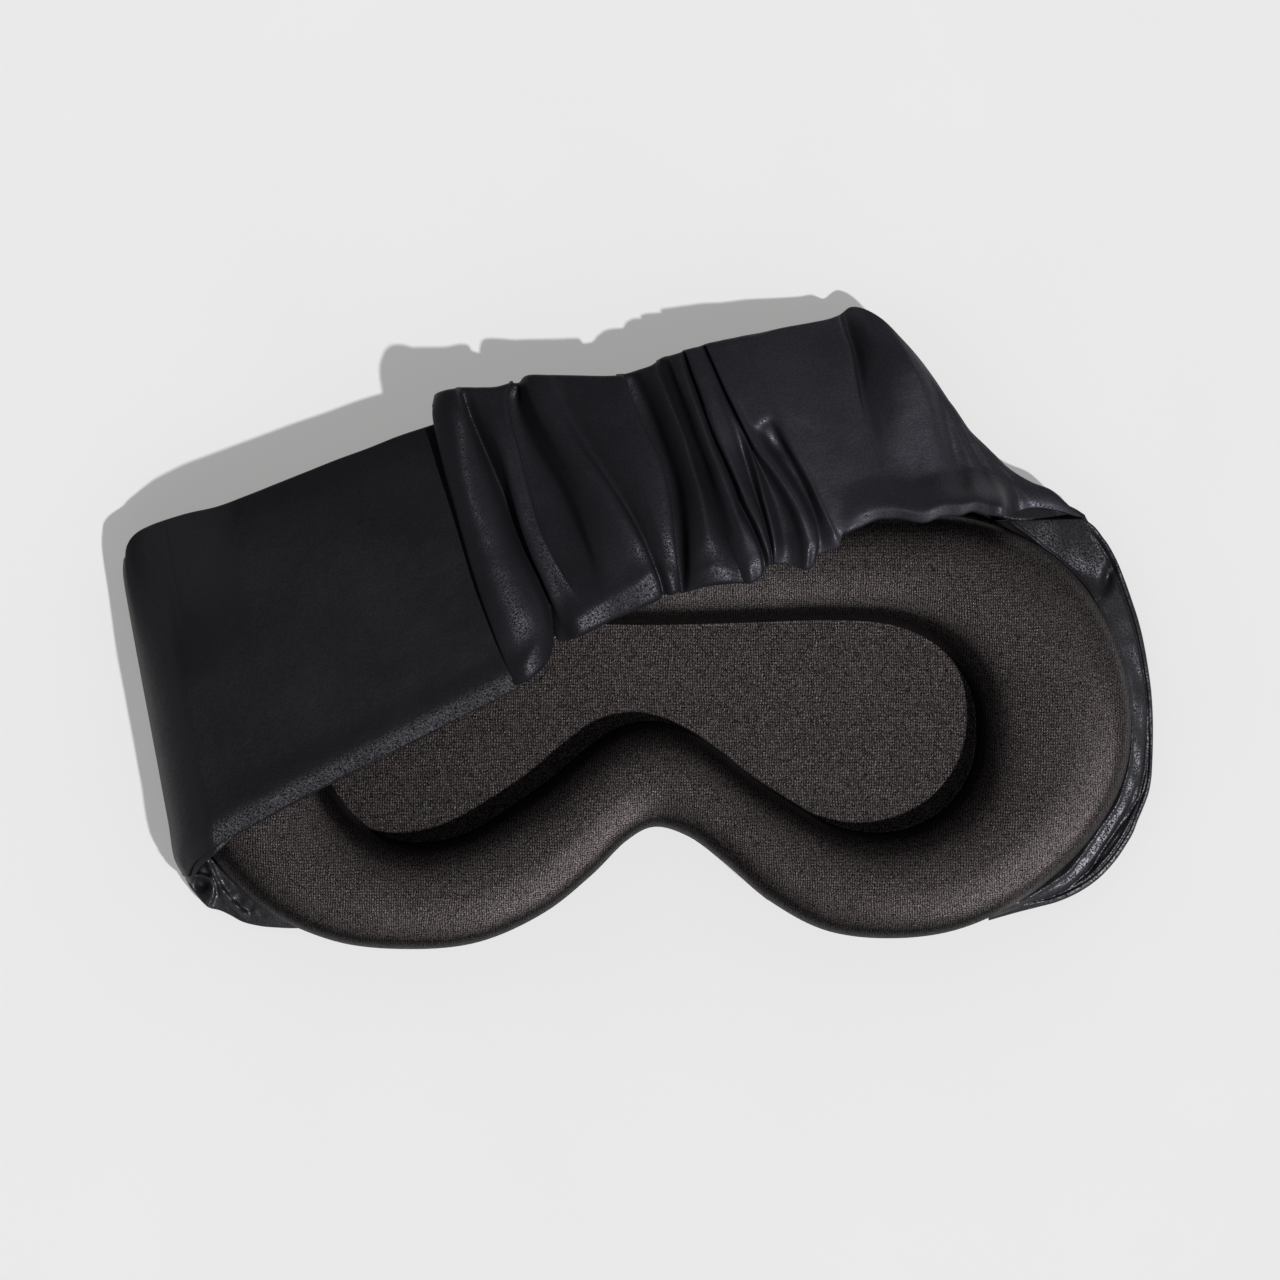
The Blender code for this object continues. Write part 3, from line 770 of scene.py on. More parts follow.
def corner_height(point, across, share, width):
    x, y = point
    z = 6.9 - 2.2 * across
    z += (1.5 * bell(nearest(point, CORNER_FLAP)[0], 0.575)
          * float(1 - smooth(share, 0.45, 0.6)))
    z -= 2.6 * bell(math.hypot(x - CORNER_HOLLOW[0], y - CORNER_HOLLOW[1]), 1.625)
    z += (0.9 * bell(nearest(point, CORNER_RIDGE)[0], 0.75)
          * float(1 - smooth(share, 0.6, 0.8)))
    fade = math.sin(math.pi * across) * float(1 - smooth(share, 0.8, 1.0))
    return z + 0.55 * wander(x, y, 2.2, 21.0) * fade


left_corner = flange("left_corner", CORNER_INNER, CORNER_OUTER, 110, corner_height, roll=0.7)
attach(left_corner, "mask")

# ------------------------------------------------------------------ the strap: left fold and panel
STRAP_Z = 22.9                      # middle of the strap where it lies on the pad
FOLD_Z = 5.0                        # height of the fold's axis
FOLD_START, FOLD_END = -0.3, 10.0   # the fold's extent along the strap
PANEL_END = 90.0


def droop(y):
    """How far the strap's unsupported part beyond the brow hangs."""
    beyond = max(y - 44.0, 0.0)
    return 0.13 * beyond * beyond / (beyond + 12.0)


def edge_table(text):
    """An edge as (along, across) columns, from its x y points."""
    return np.array(sorted((to_strap(*point) for point in catmull(outline(text), 8)),
                           key=lambda row: row[0])).T


def edge_at(edge, along):
    return float(np.interp(along, *edge))


LEFT_BROW_EDGE = edge_table(
    "-131.625 43, -131.25 45.125, -130.25 46.875, -128.125 48.625, -125.25 50, -122.5 51,"
    "-115 53.25, -107.5 54.875, -100 57.625, -92.5 60.625, -85 63.625, -77.5 66.625,"
    "-70 69.375, -62.5 72.375, -55 74.875, -45 78.25")
LEFT_HEM_EDGE = edge_table(
    "-116 -36.25, -115 -33.75, -113.25 -31.5, -111 -29.875, -108.5 -28.25, -102.5 -24.75,"
    "-87.5 -16.5, -72.5 -8.75, -57.5 -1.25, -45 5, -33.75 10.75, -27.5 14")


def strap_ring(along, z, normal_along, normal_z, edge_along, tuck, hang):
    """A closed section of the flat tube: top ply, hem with the second ply's lip, under ply,
    brow edge. The normal is the strap's; edge_along is where the outline is read, tuck draws
    both edges in, hang is the share of the droop."""
    brow = edge_at(LEFT_BROW_EDGE, edge_along) - tuck
    hem = edge_at(LEFT_HEM_EDGE, edge_along) + tuck
    size = math.hypot(normal_along, normal_z)
    normal_along, normal_z = normal_along / size, normal_z / size
    widen = float(smooth(along, 9, 15))
    lip = 2.5 * (1 - widen) + 1.15 * widen
    lip *= float(1 - 0.85 * smooth(along, 64, 78))
    wave = 0.35 * wander(along, 3.0, 9.0, 7.0) + 0.2 * wander(along, 1.0, 3.5, 17.0)
    section = []   # across, offset along the normal
    steps = 44
    for k in range(steps + 1):
        t = k / steps
        across = brow + (hem - brow) * t
        x, y = plan(along, across)
        crown = 1.35 - 0.9 * abs(2 * t - 1) ** 16
        # the hem's seam allowance
        crown += 0.42 * float(smooth(t, 0.84, 0.95) * (1 - smooth(t, 0.955, 1.0)))
        crown += 0.12 * wander(x, y, 30, 6.0) + 0.05 * wander(x, y, 11, 12.0)
        section.append((across, crown))
    for out, offset in ((0.35, 0.42), (0.62, 0.32), (0.80, 0.10), (0.72, -0.12), (0.35, -0.25),
                        (0.15, -0.34), (0.5, -0.36), (lip - 0.25, -0.42), (lip, -0.62),
                        (lip - 0.05, -0.88), (lip - 0.4, -1.05), (0.2, -1.2)):
        section.append((hem - out - wave * 0.25 * (offset < -0.3), offset))
    for k in range(13):
        section.append((hem + 0.4 + (brow - hem - 0.8) * k / 12, -1.30))
    for out, offset in ((0.3, -1.0), (0.75, -0.4), (0.75, 0.05), (0.35, 0.40)):
        section.append((brow + out, offset))
    ring = []
    for across, offset in section:
        x, y = plan(along + normal_along * offset, across)
        # the fold's brow corner hangs lower
        corner = float((1 - smooth(along, -1.0, 30.0)) * smooth(across, 4.0, 42.0))
        ring.append((x, y, z + normal_z * offset - droop(y) * hang - 12.0 * corner * hang))
    return ring


def build_left_fold():
    """The strap's climb up the pad's side: a quarter ellipse that starts a little below."""
    width, height = FOLD_END - FOLD_START, STRAP_Z - FOLD_Z
    angles = [-12, -8, -4, -1.5, -0.4, 0.0, 0.3, 1, 2.5, *np.linspace(5, 86, 40), 88, 89.4, 90]
    rings = []
    for angle in angles:
        cos, sin = math.cos(math.radians(angle)), math.sin(math.radians(angle))
        along = FOLD_END - width * cos
        # the corners are rounded: both edges draw in as the strap turns down
        tuck = 1.1 * (1 - max(sin, 0.0)) ** 1.7
        rings.append(strap_ring(along, FOLD_Z + height * sin, -cos / width, sin / height,
                                max(along - 1.3 * cos, -1.5), tuck,
                                float(smooth(angle, 10, 80))))
    # the fold's end reaches inside the panel
    along = FOLD_END + 1.6
    inner = np.array(strap_ring(along, STRAP_Z, 0.0, 1.0, along, 0.25, 1.0))
    inner[:, 2] += np.where(inner[:, 2] > STRAP_Z - 0.78, -0.12, 0.12)
    rings.append(inner)
    return loft("left_fold_satin", rings, SATIN_STRAP)


left_fold = build_left_fold()
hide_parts("left_wing")
fold_x, fold_y = plan(0.0, 0.0)
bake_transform(left_fold)

left_panel = loft("left_panel_satin",
                  [strap_ring(along, STRAP_Z, 0.0, 1.0, along, 0.0, 1.0)
                   for along in np.linspace(FOLD_END, PANEL_END, 124)], SATIN_STRAP)
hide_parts("left_strap_outer", "left_strap_inner")


def seam_blend(obj, first, second, start, end):
    """Bakes the piece's world transform into its mesh."""
    x0, y0 = plan(start, 20.0)
    x1, y1 = plan(end, 20.0)
    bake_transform(obj)


seam_blend(left_panel, "left_strap", "gather_left", 80.0, PANEL_END)

# ------------------------------------------------------------------ draped cloth
ROWS = 84          # points down each line
SAMPLES = 6        # columns between neighbouring lines
DRAPE_FLOOR = 21.6

# The strap's fall from the pad's top to its anchor at the right.
DROP_ALONG = [163, 178, 190, 205, 220, 232, 240]
DROP_DEPTH = [0.0, 0.0, 0.6, 5.0, 10.0, 12.6, 13.2]


def drop(along):
    return float(np.interp(along, DROP_ALONG, DROP_DEPTH))


def trimmed(line, head, tail):
    """The line with room left at both ends for the rolls."""
    lengths = run_lengths(line[:, :2])
    total = lengths[-1]
    low, high = min(head, total * 0.35), total - min(tail, total * 0.35)
    ends = at_length(line, lengths, [low, high])
    return np.vstack([ends[0], line[(lengths > low) & (lengths < high)], ends[1]])


def average(rows, width):
    """Moving average down the first axis."""
    padded = np.concatenate([rows[:1]] * width + [rows] + [rows[-1:]] * width)
    return sum(padded[k:k + len(rows)] for k in range(2 * width + 1)) / (2 * width + 1)


def hemmed(line, hold, band, slope):
    """The cloth keeps the height hold to the last band, then leans down to the hem."""
    lengths = run_lengths(line[:, :2])
    left = lengths[-1] - lengths
    line = line.copy()
    turn = np.where(left < band, hold - (band - left) * slope, hold)
    weight = 1 - smooth(left, band, band + 9.0)
    line[:, 2] = line[:, 2] * (1 - weight) + turn * weight
    return line


def rolled(edge, before, radius, back):
    """Rows that roll an edge under and end in a short flat return."""
    run = edge - before
    reach = np.linalg.norm(run[:, :2], axis=1)
    flat = average(run[:, :2] / reach[:, None], 4)
    flat = flat / np.linalg.norm(flat, axis=1)[:, None]
    tilt = np.clip(average(np.arctan2(-run[:, 2], reach), 2), 0.0, 0.9)
    made = []
    for share in (0.14, 0.28, 0.42, 0.56, 0.70, 0.85, 1.0):
        angle = tilt + (math.radians(172) - tilt) * share
        out = radius * (np.sin(angle) - np.sin(tilt))
        down = radius * (np.cos(tilt) - np.cos(angle))
        made.append(np.c_[edge[:, 0] + flat[:, 0] * out, edge[:, 1] + flat[:, 1] * out,
                          edge[:, 2] - down])
    last = made[-1]
    for step in back:
        made.append(np.c_[last[:, 0] - flat[:, 0] * step, last[:, 1] - flat[:, 1] * step,
                          last[:, 2] + 0.04 * step])
    return made


def draped(name, lines, mat, seed):
    """Cloth through lines that run from its brow edge to its hem, both edges rolled under."""
    table = []
    for droop_share, brow_roll, hem_roll, *lean, text in lines:
        line = [(x, y, z - droop_share * droop(y) - drop(to_strap(x, y)[0]))
                for x, y, z in outline(text)]
        line = trimmed(catmull(line, 8), brow_roll, hem_roll * 0.85)
        if lean:
            line = hemmed(line, *lean)
        table.append(np.c_[even(line, ROWS), np.full(ROWS, brow_roll), np.full(ROWS, hem_roll)])
    table = np.array(table)
    grid = np.array([catmull(table[:, i], SAMPLES) for i in range(ROWS)])
    body = grid[:, :, :3]
    for i in range(ROWS):
        crumple = 0.10 * math.sin(math.pi * i / (ROWS - 1)) ** 0.5
        for k in range(body.shape[1]):
            x, y, z = body[i, k]
            body[i, k, 2] = z + crumple * (1.5 * wander(x, y, 13.0, seed)
                                           + 0.7 * wander(x, y, 5.0, seed + 4))
    brow_radius = grid[0, :, 3]
    lowest = np.array([DRAPE_FLOOR - droop(y) - drop(to_strap(x, y)[0]) for x, y, z in body[-1]])
    hem_radius = np.clip((body[-1, :, 2] - lowest) / 2, 0.35, grid[-1, :, 4])
    brow_rows = rolled(body[0], body[2], brow_radius, back=(1.0, 2.2))
    hem_rows = rolled(body[-1], body[-3], hem_radius, back=(1.0, 2.4))
    return sheet(name, np.array(brow_rows[::-1] + list(body) + hem_rows), mat, 0.35)


# ------------------------------------------------------------------ the gathered sleeve
# The crease and ridge lines of draped pieces, from left to right. Each row holds: share of the
# droop, brow roll radius, hem roll radius, then for some the hem's hold height, band and slope,
# then the line's x y z points. z is as if nothing hung.
SLEEVE_LINES = [
    # under the sleeve's left edge
    (1.0, 0.9, 0.9,
     "-49.5 83.5 22.6, -49.5 77.5 22.4, -49 72.25 22.4, -47.25 62.5 22.6, -44.5 50 23,"
     "-39.75 35 23.2, -36 22.5 23.3, -33 11.5 22.6"),
    (0.7, 0.9, 0.9,
     "-52.25 82.75 24.6, -52.5 77.5 24.4, -51.5 72.25 24.4, -49.5 63 24.4, -46.5 50.5 24.6,"
     "-41.75 35 24.8, -37.75 22.5 24.8, -33.5 11.25 23"),
    # left edge
    (0.1, 1.2, 1.1,
     "-53 83.75 24.9, -54 79.5 25.6, -52.875 72.25 26.2, -50.875 63.75 26.4,"
     "-48.125 54.25 26.4, -45.625 45 26.3, -42.625 35 26.2, -39 25 26, -36.5 18.5 25.4,"
     "-33.75 11 23.4"),
    (0.0, 1.4, 1.5, 26.8, 2.6, 0.34,
     "-50.75 85 26.4, -50 80 28.2, -48.25 72.5 28.6, -46.5 62.5 28.6, -43 50 28.3,"
     "-38.5 35 28, -34.75 25 27.2, -32.75 18.75 26, -30.25 12 23.2"),
    (0.05, 1.4, 1.5, 26.5, 3.8, 0.34,
     "-48.75 85.25 26.6, -46.75 79.5 28.2, -44.75 71.25 27.9, -42.25 61.25 27.4,"
     "-38.25 49.5 27.4, -34 37.5 27.3, -30.75 28.75 26.8, -28.5 22.5 25.8, -25.75 16.25 22.8"),
    (0.1, 1.3, 1.0,
     "-48 85.25 26.2, -45.75 79.5 26.6, -43 71.25 25.8, -39.75 62 25.4, -35.75 50.75 25.3,"
     "-31.25 39.5 25.3, -28 32 25.2, -25.75 26.25 24.6, -23.875 20.5 22.4"),
    # valley between the first two bulges
    (0.2, 1.2, 0.6,
     "-47 85.25 25.4, -44.5 77.75 24, -40.75 69 23, -37.5 61.5 22.7, -35 55.5 22.6,"
     "-32.5 48.75 22.5, -29.75 43 22.3, -27.25 38.25 22.2, -25.5 33 22.3, -24 29 22"),
    (0.35, 1.2, 0.6,
     "-44 85.25 25.9, -42 78 25.9, -38.75 69.5 25.6, -36 61.75 25.3, -33.75 55.5 25.2,"
     "-31 47.5 24.9, -28.25 41 24.4, -26.25 36.25 23.8, -24.25 31 23.2, -23 22.25 22"),
    # second ridge, its crisp right edge and the cloth tucked below it
    (0.5, 1.2, 0.9,
     "-42 85.375 26.4, -40 77.5 27, -36.75 68.75 27.5, -34.5 60 27.3, -32.25 51.25 26.9,"
     "-29.5 43.5 26.2, -27 38 25.6, -24.25 32 25, -22 27 24, -20.25 22 22.4"),
    (0.65, 1.2, 1.7, 26.0, 2.8, 0.33,
     "-38.25 85.625 26.8, -37.5 77.5 27.7, -34.75 70 27.9, -32.75 62.5 27.7,"
     "-30.75 54.75 27.4, -28.25 47.25 26.9, -25 40 26.2, -22 33.75 25.3, -19.5 28.75 24.5,"
     "-17.5 23 22.4"),
    (0.85, 1.2, 1.8, 26.0, 3.0, 0.33,
     "-34.25 86.75 26.6, -35.375 83.5 27.4, -34.75 77.5 27.9, -33.25 72.5 27.9,"
     "-31.625 66 27.6, -29.625 58.5 27.1, -27.25 50.5 26.7, -24.25 43.75 26.2,"
     "-20.75 37.5 25.6, -17.75 32 24.8, -14.5 24.25 22.6"),
    (1.0, 1.0, 1.9, 25.8, 3.4, 0.33,
     "-34.5 86.5 24, -36 83 23.6, -35.5 77.25 23.2, -34 72 22.8, -32.5 65.5 22.8,"
     "-30.375 58 22.9, -27.75 50 23.3, -24 42.5 24, -20 36.75 24.9, -16.75 31.5 24.6,"
     "-13 24.75 22.6"),
    (1.0, 1.0, 2.0, 25.6, 3.8, 0.32,
     "-32.75 86.5 22.6, -33.25 82 22, -31 74.5 22, -27.75 68 22, -23.5 61 22.1,"
     "-20.75 55 22.3, -18 48.75 22.8, -15.75 43 23.6, -14.25 37.5 24.4, -12.5 32 24.6,"
     "-10.5 26 22.7"),
    (1.0, 1.1, 2.1, 25.8, 4.2, 0.31,
     "-31.5 87.75 24.8, -31.75 83 24, -28.75 75.5 24, -25 68.75 24.3, -20.75 61.75 24.9,"
     "-17.75 55.5 25.2, -15.5 49.25 25.4, -13.25 43 25.5, -11.5 37.5 25.5, -9.75 32.5 24.9,"
     "-8 27.125 22.8"),
    (1.0, 1.2, 2.1, 26.2, 4.8, 0.30,
     "-30 88.625 26.2, -29.25 83 26.8, -26 76.25 27.2, -21.75 69.5 27.4, -17.25 62 27.5,"
     "-14.25 55.5 27.3, -11.75 49.25 27, -9.75 43.5 26.5, -8 38 26, -6.5 33.25 25,"
     "-5 28.375 22.8"),
    # long crease that runs down and right over the second bulge
    (1.0, 1.2, 2.0, 26.6, 5.6, 0.30,
     "-25.25 88.625 26.4, -23.5 80.5 27.4, -18.5 71 27.8, -13.5 64 27.9, -9 57.5 27.9,"
     "-5.25 51.5 27.6, -2.25 46 27.1, 0 41 26.3, 1.75 36.75 25, 2.75 32.25 22.8"),
    (1.0, 1.2, 1.9,
     "-23.5 88.55 26, -21.5 80.75 26.3, -16.5 71.75 26.3, -11.75 64.75 26.2,"
     "-7.5 58.25 26.2, -4 52.25 25.9, -1.125 46.5 25.6, 0.875 41.5 25.2, 2.5 37.25 24.4,"
     "3.5 32.75 22.7"),
    (1.0, 1.2, 1.7, 26.2, 4.4, 0.31,
     "-18.75 88.5 26.3, -16.75 81.25 27, -12.25 72.75 27.3, -8.25 65.75 27.3,"
     "-4.75 59 27.2, -1.75 52.75 26.8, 0.625 47 26.3, 2.75 42 25.7, 4.25 38 24.8,"
     "5.375 33.25 22.8"),
    (1.0, 1.2, 1.4, 26.0, 4.0, 0.31,
     "-11.5 88.375 26.8, -9 80 27.8, -5.5 71.25 28.1, -1.75 62.5 28, 1 55 27.6,"
     "2.75 48.75 27.1, 4.25 43.5 26.3, 5.25 39.5 25.4, 6 36.75 24.4, 6.75 33.875 22.7"),
    # right edge of the second bulge and the cloth below it
    (1.0, 1.2, 0.9,
     "-6.75 88.5 26.6, -4 81.5 27.2, -1.125 74.75 27.5, 2.5 67.25 27.3, 3.875 62.75 27.1,"
     "5.25 55.75 26.6, 6 48.75 26.1, 6.75 41.75 25.3, 7.375 37.5 24.2, 7.75 34 22.5"),
    (1.0, 1.0, 0.5,
     "-8.25 88.25 24.4, -5.5 81.25 23.2, -2.5 74.5 22.7, 1.125 67 22.5, 2.5 62.5 22.4,"
     "4.25 55.5 22.3, 5.375 48.5 22.3, 6.25 41.75 22.4, 7.125 37.25 22.3, 7.875 34 22.1"),
    (1.0, 1.0, 0.5,
     "-5 89 23.2, -1.25 81.5 22.2, 1.5 74.75 22, 4.25 67.25 22, 6 61.5 22, 7.125 54.75 22,"
     "7.75 47.75 22, 8.05 41.5 22.1, 8.2 37.25 22.1, 8.3 34 22"),
    (1.0, 1.1, 1.2,
     "-2.5 89.875 25, 0.75 82.75 24.6, 3.75 75 24.6, 6.5 67.5 24.7, 8.5 60.25 24.8,"
     "9.5 53.75 24.8, 10 47.5 25, 10.25 42 25.2, 10.125 37.75 24.4, 9.75 34 22.6"),
    (1.0, 1.2, 1.7, 26.0, 3.4, 0.33,
     "0 90.875 26.2, 3 85.5 26.8, 5.75 79.25 27, 8.25 73.25 27, 10.25 66 27,"
     "12.25 59.25 26.9, 13.5 53 26.7, 14.25 46.25 26.4, 14.5 41 25.4, 14 35.375 22.8"),
    (1.0, 1.1, 1.6, 25.4, 2.6, 0.33,
     "1.5 91.75 25.2, 4 86.25 25.2, 6.75 79.25 25, 9.25 72.5 25, 11.5 65.75 25,"
     "13.75 59.25 25, 15.5 52.75 25.2, 17.25 46.25 25.4, 18.5 41.5 25, 19.5 36 22.8"),
    # split line, tucked under the piece to its right
    (1.0, 1.0, 1.2,
     "2.5 92.5 23.6, 4.875 86.75 22.9, 7.875 79 22.2, 10.25 71.75 22, 13 65.25 22,"
     "15.25 59.25 22.1, 17.5 52.25 22.8, 19.75 46 23.8, 21.5 41 24.2, 23.25 36.125 22.7"),
    (1.0, 0.8, 1.0,
     "3.75 93 22.4, 6.25 86.5 21.9, 9.25 78.75 21.6, 11.5 71.5 21.5, 14.25 65 21.5,"
     "16.5 59 21.6, 18.75 52 22.2, 21.25 45.75 23, 23.25 41 23.4, 25.25 36.25 22.4"),
]
# Spans along the strap for the sleeve and the right panel, given to seam_blend.
SLEEVE_SPAN = (89.0, 139.0)
RIGHT_SPAN = (157.0, 171.0)

sleeve = draped("sleeve_satin", SLEEVE_LINES, SATIN_SLEEVE_PAINTED_SHEEN, seed=31.0)
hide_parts("sleeve_outer", "gather_seam_left")
seam_blend(sleeve, "gather_left", "gather_right", *SLEEVE_SPAN)

